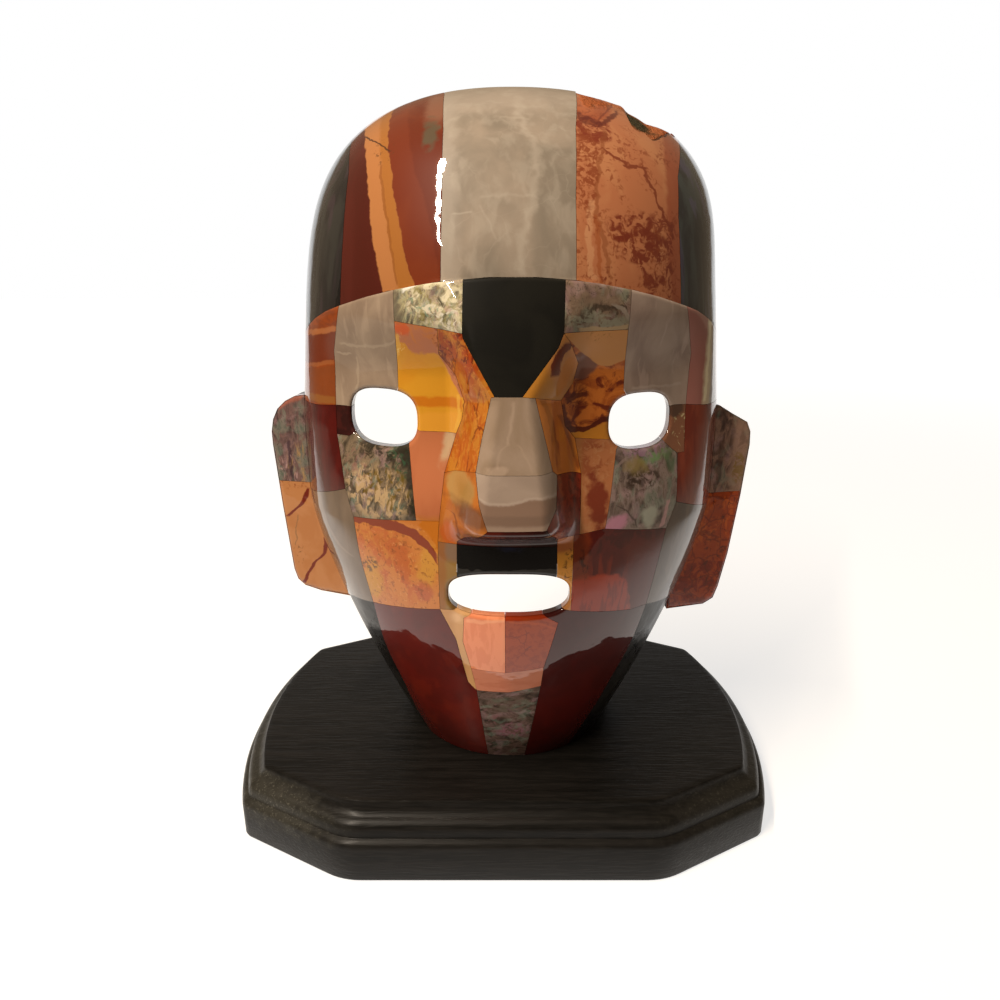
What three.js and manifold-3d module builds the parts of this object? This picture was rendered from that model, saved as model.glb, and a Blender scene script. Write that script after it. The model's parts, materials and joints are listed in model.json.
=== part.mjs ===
// A stone mosaic mask standing on a moulded wooden base.
// Millimetres, +Z up, the mask looks along -Y. The origin is the middle of the whole object's box, at
// the base's underside.
// The mask is a hollow black shell. Flat-lapped stone and shell plates are set into its front, edge to
// edge with a thin seam between them, and two ear flaps stand out from its back edge.

import * as THREE from 'three';
import { mergeVertices } from 'three/addons/utils/BufferGeometryUtils.js';
import Module from 'manifold-3d';

const wasm = await Module();
wasm.setup();

// Base: a plaque of about 6 x 4 inches cut from 3/4 inch board, with four cut corners and bowed ends
const BASE_LENGTH = 153;
const BASE_DEPTH = 102.8;
const BASE_THICKNESS = 19;
const BASE_END_BOW = 6.9;
const BASE_CORNER_CUT = { along: 29.1, across: 15.2 };
const BASE_BOW_STEPS = 8;
// Moulded edge, from the underside up: [distance in from the widest outline, height]
const BASE_EDGE = [
  [0.6, 0], [0, 0.6], [0, 10], [0.5, 11], [1.7, 11.6], [1.9, 12.9],
  [2.3, 14.2], [3.4, 15.2], [4.8, 15.8], [5.9, 16.9], [6.5, 19],
];

// How far the tip of the nose stands out past the front edge of the base
const NOSE_OVERHANG = 1.7;

// Mask: where it stands and the sizes of its domed front
const MASK_OFFSET_X = 1.8;
const BOTTOM_Z = BASE_THICKNESS;
const JAW_Z = 87.5;
const WIDEST_Z = 110;
const TOP_Z = 190.6;
const BACK_Y = 10;
const HALF_WIDTH = 56.85;
const FRONT_DEPTH = 52;
const JAW_NARROWING = { amount: 26.3, power: 1.33 };
const CHIN_RECEDING = { amount: 14.7, power: 2.6 };
const CROWN_WIDTH = { taper: 0.095, power: 5.9, round: 1.9 };
const CROWN_SWELL_RIGHT = { share: 0.043, from: 141, run: 35 };
const CROWN_DEPTH = { power: 3.7, round: 1.4 };
const SECTION_POWER = 2.15;

// The forehead lies this far behind the plates of the brow, and comes level at the sides and the crown
const FOREHEAD_STEP = { depth: 1.5, sideFrom: 36, sideRun: 14, topFrom: 158, topRun: 28 };

// Layers, measured in from the polished face: a layer is the same dome, smaller by its inset over this
// mean radius
const LEVEL_SPAN = FRONT_DEPTH + 2;
const PLATE_BACK = 3.5;
const SEAM = 0.3;
const POCKET_FLOOR = PLATE_BACK + SEAM;
const SHELL_INSIDE = 6.5;
const HOLLOW_NOSE_SHARE = 0.5;
const PLATE_EDGE_Y = -1;
const PLATE_FOOT_Z = BOTTOM_Z + SEAM;
const FOOT_THICKNESS = 7;

// Relief of the face, as sizes in millimetres
const BROW = { z: 144.4, droop: 0.004, endFrom: 42, endDroop: 0.02 };
const SOCKET = {
  depth: 4.5, top: 134, topRun: 8, bottom: 98, bottomRun: 10, inner: 8, innerRun: 7, outer: 50, outerRun: 9,
};
const NOSE = { height: 11, root: 144, length: 47, base: 86.5, baseRun: 6.5 };
const NOSE_RIDGE = [[87, 8], [99, 8], [120, 4.2], [132, 10.4], [144, 12]];
const NOSE_FOOT = [[87, 16], [98, 16], [111, 12.4], [119, 10.6], [128, 16], [144, 20]];
const MUZZLE = { height: 2, z: 70, halfWidth: 24, halfHeight: 20 };

// Openings cut through the face, as rounded ovals; the shell behind is cut wider than the plates
const EYE_LEFT = { x: -29.8, z: 113.5, halfWidth: 8.4, halfHeight: 6.7, power: 2.7, steps: 28 };
const EYE_RIGHT = { x: 29.7, z: 112.8, halfWidth: 7.9, halfHeight: 6.5, power: 2.7, steps: 28 };
const MOUTH = { x: -0.7, z: 73.8, halfWidth: 14.3, halfHeight: 5.6, power: 2.9, steps: 32 };
const OPENING_FLARE = 1.2;

// Ears: outlines as [distance out from the middle, height], and the slab they are cut from
const EAR_FRONT_Y = -7;
const EAR_SWEEP = 0.22;
const EAR_SWEEP_FROM = 50;
const EAR_THICKNESS = 10.5;
const EAR_PLATE_THICKNESS = 2.4;
const EAR_LEFT = {
  seam: 91,
  outline: [
    [45, 58], [54, 58.8], [58.8, 60], [60.8, 61.8], [61.7, 64.8], [63.4, 84], [64.6, 101],
    [64.6, 104.6], [63.9, 107.9], [62.4, 110.8], [60, 113], [57.2, 114.4], [45, 116.5],
  ],
};
const EAR_RIGHT = {
  seam: 88,
  outline: [
    [45, 54], [56, 54.4], [58.8, 56], [60, 59.5], [62, 69.5], [64.1, 86.6], [65.3, 101],
    [65.1, 104.6], [63.9, 107.2], [59.5, 109.6], [55.5, 112], [45, 115],
  ],
};

// Worn and chipped edge of the crown on its right: the line [x, height] where the broken face turns at
// `turnY`, its slope up to the back from there and its steeper slope down to the front
const CHIP = {
  line: [
    [14.6, 186.8], [15.4, 185.4], [20.6, 184.2], [25.9, 182.7], [27, 181.4], [29.7, 180.1],
    [31.5, 179], [34.6, 178.2], [36.8, 177.4], [38.8, 176.4],
  ],
  turnY: -6.25,
  slopeBehind: 0.22,
  slopeInFront: 0.5,
};

// Facets of the domed front: heights, and shares of the way from the foot of the nose to the side.
// Every other line is left out on the plates' backs and inside the shell.
const ROW_HEIGHTS = [
  BOTTOM_Z, 29, 39, 49, 58, 66, 73, 80, 86.5, 90, 93.5, 100, 107, 114, 121, 128, 134, 140, 146,
  156, 165, 173, 180, 185, 188, 189.6, TOP_Z,
];
const BACK_ROW_HEIGHTS = [
  BOTTOM_Z, 39, 58, 73, 86.5, 93.5, 107, 121, 134, 146, 160, 172, 180, 185, 188, 189.6, TOP_Z,
];
const OUTER_SHARES = [0.25, 0.5, 0.72, 0.88, 0.96, 1];
const BACK_OUTER_SHARES = [0.4, 0.75, 0.94, 1];
const RIDGE_SHARE_LIMIT = 0.22;
const FOOT_SHARE_LIMIT = 0.36;

// Far limits for cutting prisms, well outside the mask
const OUTSIDE = 70;
const ABOVE = 200;
const BELOW = 10;
const PRISM_FRONT_Y = -80;
const PRISM_BACK_Y = 40;
const OVERRUN = 1;

// Corners closer than this are one corner, and a mitre is cut off where its corner is sharper
const SAME_CORNER = 1e-5;
const SHARPEST_MITRE = 0.2;

const smoothStep = (value) => {
  const t = THREE.MathUtils.clamp(value, 0, 1);
  return t * t * (3 - 2 * t);
};

// Value at x on a line through [place, value] pairs
function between(pairs, x) {
  if (x <= pairs[0][0]) return pairs[0][1];
  for (let i = 1; i < pairs.length; i += 1) {
    const [x0, y0] = pairs[i - 1];
    const [x1, y1] = pairs[i];
    if (x <= x1) return y0 + ((y1 - y0) * (x - x0)) / (x1 - x0);
  }
  return pairs[pairs.length - 1][1];
}

function browHeight(x) {
  const pastEnd = Math.max(Math.abs(x) - BROW.endFrom, 0);
  return BROW.z - BROW.droop * x ** 2 - BROW.endDroop * pastEnd ** 2;
}

// Half width of the mask's outline at height z, on one side of the middle
function halfWidth(z, side) {
  if (z <= WIDEST_Z) {
    const t = Math.max(JAW_Z - z, 0) / (JAW_Z - BOTTOM_Z);
    return HALF_WIDTH - JAW_NARROWING.amount * t ** JAW_NARROWING.power;
  }
  const t = (z - WIDEST_Z) / (TOP_Z - WIDEST_Z);
  const straight = HALF_WIDTH - CROWN_WIDTH.taper * (z - WIDEST_Z);
  const even = straight * Math.max(1 - t ** CROWN_WIDTH.power, 0) ** (1 / CROWN_WIDTH.round);
  if (side < 0) return even;
  const { share, from, run } = CROWN_SWELL_RIGHT;
  return even * (1 + share * smoothStep((z - from) / run));
}

// Depth of the front, from the back edge, on the middle line at height z
function middleDepth(z) {
  if (z <= WIDEST_Z) {
    const t = (WIDEST_Z - z) / (WIDEST_Z - BOTTOM_Z);
    return FRONT_DEPTH - CHIN_RECEDING.amount * t ** CHIN_RECEDING.power;
  }
  const t = (z - WIDEST_Z) / (TOP_Z - WIDEST_Z);
  return FRONT_DEPTH * Math.max(1 - t ** CROWN_DEPTH.power, 0) ** (1 / CROWN_DEPTH.round);
}

// Height of the carving above the plain dome: eye sockets, nose, the swell round the mouth and, on the
// forehead's own surface, the step back from the brow
function relief(x, z, noseShare, onForehead) {
  const out = Math.abs(x);
  const socket = SOCKET.depth
    * smoothStep((SOCKET.top - z) / SOCKET.topRun) * smoothStep((z - SOCKET.bottom) / SOCKET.bottomRun)
    * smoothStep((out - SOCKET.inner) / SOCKET.innerRun) * smoothStep((SOCKET.outer - out) / SOCKET.outerRun);
  const ridge = between(NOSE_RIDGE, z);
  const foot = between(NOSE_FOOT, z);
  const nose = NOSE.height * THREE.MathUtils.clamp((NOSE.root - z) / NOSE.length, 0, 1)
    * (1 - smoothStep((out - ridge) / (foot - ridge))) * smoothStep((z - NOSE.base) / NOSE.baseRun);
  const fromMouth = Math.hypot(x / MUZZLE.halfWidth, (z - MUZZLE.z) / MUZZLE.halfHeight);
  const muzzle = MUZZLE.height * Math.exp(-(fromMouth ** 4));
  const step = FOREHEAD_STEP.depth * (1 - smoothStep((out - FOREHEAD_STEP.sideFrom) / FOREHEAD_STEP.sideRun))
    * (1 - smoothStep((z - FOREHEAD_STEP.topFrom) / FOREHEAD_STEP.topRun));
  return noseShare * nose + muzzle - socket - (onForehead ? step : 0);
}

// Shares of the half width at which a row has its points, on one side of the middle; the inner ones
// follow the edge of the nose's ridge and its foot
function columnShares(z, edge, coarse) {
  const ridge = Math.min(between(NOSE_RIDGE, z) / edge, RIDGE_SHARE_LIMIT);
  const foot = Math.min(between(NOSE_FOOT, z) / edge, FOOT_SHARE_LIMIT);
  const outer = (coarse ? BACK_OUTER_SHARES : OUTER_SHARES).map((share) => foot + (1 - foot) * share);
  return coarse ? [ridge, foot, ...outer] : [ridge, (ridge + foot) / 2, foot, ...outer];
}

// Row of points across the front, lying `inset` in from the polished face
function frontRow(height, { inset, noseShare = 1, onForehead = false, coarse = false }) {
  const scale = 1 - inset / LEVEL_SPAN;
  const z = height <= WIDEST_Z ? height : WIDEST_Z + scale * (height - WIDEST_Z);
  const pointAt = (x, share) => {
    const rise = Math.max(1 - share ** SECTION_POWER, 0) ** (1 / SECTION_POWER);
    const depth = scale * middleDepth(height) * rise;
    const carved = share < 1 && height < TOP_Z ? relief(x, z, noseShare, onForehead) : 0;
    return new THREE.Vector3(x, BACK_Y - depth - carved, z);
  };
  const [left, right] = [-1, 1].map((side) => {
    const edge = scale * halfWidth(height, side);
    return columnShares(z, edge, coarse).map((share) => pointAt(side * edge * share, share));
  });
  return [...left.reverse(), pointAt(0, 0), ...right];
}

function geometryFrom(points, triangles) {
  const geometry = new THREE.BufferGeometry();
  geometry.setAttribute('position', new THREE.Float32BufferAttribute(points.flatMap((p) => p.toArray()), 3));
  geometry.setIndex(triangles.flat());
  return geometry;
}

// Closed solid from the domed front, `inset` in, back to the plane y = backY
function domeSolid({ bottomZ, backY = BACK_Y, ...layer }) {
  const steps = layer.coarse ? BACK_ROW_HEIGHTS : ROW_HEIGHTS;
  const rows = [bottomZ, ...steps.filter((height) => height > bottomZ)].map((height) => {
    const row = frontRow(height, layer);
    if (backY <= BACK_Y) return row;
    const [left, right] = [row[0], row[row.length - 1]];
    return [new THREE.Vector3(left.x, backY, left.z), ...row, new THREE.Vector3(right.x, backY, right.z)];
  });
  const across = rows[0].length;
  const top = rows.length - 1;
  const index = (row, column) => row * across + column;
  const triangles = [];
  for (let row = 0; row < top; row += 1) {
    for (let column = 0; column < across - 1; column += 1) {
      const [a, b] = [index(row, column), index(row, column + 1)];
      const [c, d] = [index(row + 1, column + 1), index(row + 1, column)];
      triangles.push([a, b, c], [a, c, d]);
    }
    const [left, right] = [index(row, 0), index(row, across - 1)];
    const [leftUp, rightUp] = [index(row + 1, 0), index(row + 1, across - 1)];
    triangles.push([right, left, leftUp], [right, leftUp, rightUp]);
  }
  for (let column = 1; column < across - 1; column += 1) {
    triangles.push([index(0, 0), index(0, column + 1), index(0, column)]);
    triangles.push([index(top, 0), index(top, column), index(top, column + 1)]);
  }
  return solidFrom(geometryFrom(rows.flat(), triangles));
}

// Closed geometry to solid; triangles that a merged point has flattened are dropped
function solidFrom(geometry) {
  geometry.deleteAttribute('normal');
  geometry.deleteAttribute('uv');
  const merged = mergeVertices(geometry, SAME_CORNER);
  const triangles = [];
  for (let i = 0; i < merged.index.count; i += 3) {
    const [a, b, c] = [merged.index.getX(i), merged.index.getX(i + 1), merged.index.getX(i + 2)];
    if (a !== b && b !== c && c !== a) triangles.push(a, b, c);
  }
  return new wasm.Manifold(new wasm.Mesh({
    numProp: 3,
    vertProperties: new Float32Array(merged.attributes.position.array),
    triVerts: new Uint32Array(triangles),
  }));
}

function geometryOf(solid) {
  const mesh = solid.getMesh();
  const geometry = new THREE.BufferGeometry();
  geometry.setAttribute('position', new THREE.BufferAttribute(Float32Array.from(mesh.vertProperties), 3));
  geometry.setIndex(new THREE.BufferAttribute(Uint32Array.from(mesh.triVerts), 1));
  geometry.computeVertexNormals();
  return geometry;
}

// Outline moved outwards by `distance` (inwards where negative), with mitred corners
function offsetOutline(outline, distance) {
  const points = outline.map(([x, z]) => new THREE.Vector2(x, z));
  if (THREE.ShapeUtils.isClockWise(points)) points.reverse();
  return points.map((point, i) => {
    const before = points[(i + points.length - 1) % points.length];
    const after = points[(i + 1) % points.length];
    const into = point.clone().sub(before).normalize();
    const away = after.clone().sub(point).normalize();
    const normalIn = new THREE.Vector2(into.y, -into.x);
    const normalAway = new THREE.Vector2(away.y, -away.x);
    const mitre = normalIn.clone().add(normalAway);
    mitre.multiplyScalar(distance / Math.max(1 + normalIn.dot(normalAway), SHARPEST_MITRE));
    return [point.x + mitre.x, point.y + mitre.y];
  });
}

// Prism of an outline in x and z, from frontY back to backY, in equal lengths
function prismGeometry(outline, frontY, backY, steps = 1) {
  const shape = new THREE.Shape(outline.map(([x, z]) => new THREE.Vector2(x, z)));
  const geometry = new THREE.ExtrudeGeometry(shape, { depth: backY - frontY, steps, bevelEnabled: false });
  geometry.rotateX(Math.PI / 2);
  geometry.translate(0, backY, 0);
  return geometry;
}

function prismSolid(outline, frontY = PRISM_FRONT_Y, backY = PRISM_BACK_Y) {
  return solidFrom(prismGeometry(outline, frontY, backY));
}

// Rounded oval outline, grown by `extra` all round
function ovalOutline({ x, z, halfWidth: width, halfHeight: height, power, steps }, extra = 0) {
  return Array.from({ length: steps }, (_, i) => {
    const angle = (2 * Math.PI * i) / steps;
    const [cos, sin] = [Math.cos(angle), Math.sin(angle)];
    return [
      x + (width + extra) * Math.sign(cos) * Math.abs(cos) ** (2 / power),
      z + (height + extra) * Math.sign(sin) * Math.abs(sin) ** (2 / power),
    ];
  });
}

const JAW_SIDE_STEPS = 12;

// Seam corners, as [x, height] seen from the front; the mask's own middle is x = 0
const brow = (x) => [x, browHeight(x)];
const corner = {
  eyeLeft: [EYE_LEFT.x, EYE_LEFT.z],
  eyeRight: [EYE_RIGHT.x, EYE_RIGHT.z],
  mouth: [MOUTH.x, MOUTH.z],
  browSideLeft: brow(-39),
  browOuterLeft: brow(-25.4),
  browInnerLeft: brow(-10.4),
  browInnerRight: brow(10.7),
  browOuterRight: brow(25.1),
  browSideRight: brow(39.4),
  templeLeft: [-41.6, 128],
  eyeSideTopLeft: [-42, 115.3],
  eyeSideFootLeft: [-42.1, 108.3],
  templeFootLeft: [-40.1, 95.7],
  templeFootBackLeft: [-55, 89.6],
  lidOuterLeft: [-38.9, 115.3],
  lidOuterFootLeft: [-38.9, 108.2],
  lidInnerLeft: [-25.7, 120.6],
  lidInnerFootLeft: [-21.1, 111.2],
  cheekTopLeft: [-23.6, 108.3],
  browFootOuterLeft: [-25.4, 135.4],
  browFootLeft: [-16, 134],
  browFootInnerLeft: [-10.6, 133.2],
  obsidianSideLeft: [-10.4, 132.2],
  obsidianTipLeft: [-3.9, 120.8],
  obsidianTipRight: [1.8, 120.8],
  obsidianSideRight: [9.3, 130.5],
  obsidianShoulderRight: [10.4, 133.3],
  creaseTopLeft: [-16, 128.5],
  creaseUpperLeft: [-12.3, 124],
  creaseMiddleLeft: [-10.5, 118.8],
  creaseLowerLeft: [-11.1, 114.8],
  creaseFootLeft: [-12.5, 111.3],
  nostrilTopLeft: [-15.3, 102.3],
  cheekFootInnerLeft: [-16.6, 91.5],
  cheekFootLeft: [-22, 91.1],
  cheekCornerLeft: [-38.2, 89.2],
  cheekSideLeft: [-37.4, 78.7],
  jawTopOuterLeft: [-35, 65.5],
  jawTopInnerLeft: [-17, 69.3],
  ridgeTopLeft: [-4.6, 120.6],
  ridgeMiddleLeft: [-6.6, 112],
  ridgeFootLeft: [-7.9, 105.1],
  ridgeTopRight: [4.5, 120.5],
  ridgeFootRight: [8.4, 105.1],
  tipSideRight: [9.4, 104],
  tipLowRight: [9.2, 97.5],
  tipFootRight: [7, 93.6],
  tipFootLeft: [-5.4, 93.5],
  tipLowLeft: [-7.2, 99],
  nostrilFootLeft: [-12.5, 87.1],
  nostrilFootRight: [10.2, 88.2],
  lipTopLeft: [-12.6, 86.4],
  lipTopRight: [10.2, 86],
  cornerTopLeft: [-17, 86.6],
  cornerTopRight: [14, 88.5],
  lipFootLeft: [-12.7, 78.4],
  lipFootRight: [10.3, 78.2],
  sliverTopLeft: [-13.9, 69.6],
  lowerLipLeft: [-11.3, 67.7],
  lowerLipMiddle: [-1.6, 68.4],
  lowerLipRight: [11, 66.3],
  cornerFootRight: [13.9, 69.4],
  sliverMiddleLeft: [-13.4, 61.3],
  lipSideLeft: [-11.7, 60.7],
  bandTopLeft: [-9.9, 52.1],
  bandTopMiddle: [-1.5, 51.3],
  bandTopRight: [8, 52.7],
  sliverFootLeft: [-10.8, 47.2],
  bandFootLeft: [-8.7, 44.5],
  bandFootMiddle: [-0.4, 44.3],
  bandFootRight: [7.5, 46.2],
  chinFootLeft: [-5, BELOW],
  chinFootRight: [2.8, BELOW],
  creaseTopRight: [14.2, 126.6],
  creaseShoulderRight: [12, 131.2],
  creaseUpperRight: [13.1, 122.3],
  creaseMiddleRight: [10.4, 119],
  creaseLowerRight: [11.5, 113.2],
  cheekTopInnerRight: [14, 110],
  nostrilTopRight: [15.5, 102.2],
  browFootOuterRight: [24.8, 133.6],
  lidInnerRight: [25, 120.4],
  lidInnerFootRight: [22, 109.2],
  cheekTopRight: [23.8, 106.9],
  templeRight: [42.1, 127.4],
  lidOuterRight: [38.2, 115.6],
  eyeSideTopRight: [41.6, 115.5],
  eyeSideFootRight: [41.8, 104.2],
  lidOuterFootRight: [38.4, 105.2],
  cheekCornerTopRight: [39.9, 104.1],
  templeFootRight: [39.9, 92.6],
  templeFootBackRight: [56, 85.3],
  cheekCornerRight: [37.5, 86.4],
  cheekFootRight: [21.4, 89.2],
  cheekFootInnerRight: [15.3, 88.5],
  jawTopOuterRight: [34.3, 65.3],
  jawTopMiddleRight: [29.9, 65.5],
};

// Seams of the forehead, from the brow up past the crown
const foreheadSeam = {
  sideLeft: [brow(-39), [-37.9, 153], [-37.2, 167], [-38.2, 175], [-40, ABOVE]],
  left: [brow(-15.2), [-14.9, 160], [-15.1, 175], [-16, 186.5], [-17, ABOVE]],
  right: [brow(13.1), [13, 160], [13.6, 175], [15.2, 186], [17, ABOVE]],
  sideRight: [brow(38), [36.9, 157], [37.3, 166], [40.2, 176], [44, ABOVE]],
};

// Ends of the brow seam, from the temple out past the mask
const browEnd = { left: [-43, -47, -51, -56].map(brow), right: [43, 47, 51, 56].map(brow) };

// Outer edges of the mosaic on the jaw: out from the cheek, and down its side to the base
const JAW_EDGE_LEFT = [[-41.8, 63.4], [-48.5, 58], [-OUTSIDE, 50]];
const JAW_EDGE_RIGHT = [[43.5, 62.4], [49, 57], [OUTSIDE, 50]];
const JAW_SIDE_LEFT = jawSide([
  corner.jawTopOuterLeft, [-33, 51.3], [-29, 39.3], [-26.3, 28], [-23, 19], [-20, BELOW]]);
const JAW_SIDE_RIGHT = jawSide([
  corner.jawTopOuterRight, [31.2, 53], [27.5, 44.5], [22.6, 32.4], [17.8, 22], [13, BELOW]]);

// Where the temples' seams pass the mask's edge
const templeEnd = {
  topLeft: [-OUTSIDE, 126],
  middleLeft: [-OUTSIDE, 112.5],
  footLeft: [-OUTSIDE, 83.5],
  topRight: [OUTSIDE, 126],
  middleRight: [OUTSIDE, 112],
  footRight: [OUTSIDE, 78.9],
};

// Smooth line through the given points, without its first one
function jawSide(points) {
  const line = new THREE.SplineCurve(points.map(([x, z]) => new THREE.Vector2(x, z)));
  return line.getPoints(JAW_SIDE_STEPS).slice(1).map((point) => point.toArray());
}

// Stones, with the colour, roughness and metalness each plate takes
const STONES = {
  redJasper: { color: 0x5a1812, roughness: 0.15 },
  bandedJasper: { color: 0x8e3a1c, roughness: 0.15 },
  stripedJasper: { color: 0x9a5a34, roughness: 0.15 },
  dendriteJasper: { color: 0xb06a3f, roughness: 0.15 },
  yellowJasper: { color: 0xc8892e, roughness: 0.15 },
  brecciaJasper: { color: 0xb5632c, roughness: 0.15 },
  pinkJasper: { color: 0xc76f4a, roughness: 0.15 },
  palePinkJasper: { color: 0xd98a68, roughness: 0.15 },
  greyQuartz: { color: 0x9a8c7a, roughness: 0.12 },
  obsidian: { color: 0x161412, roughness: 0.08 },
  abalone: { color: 0x8c8a72, roughness: 0.12 },
};

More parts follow.
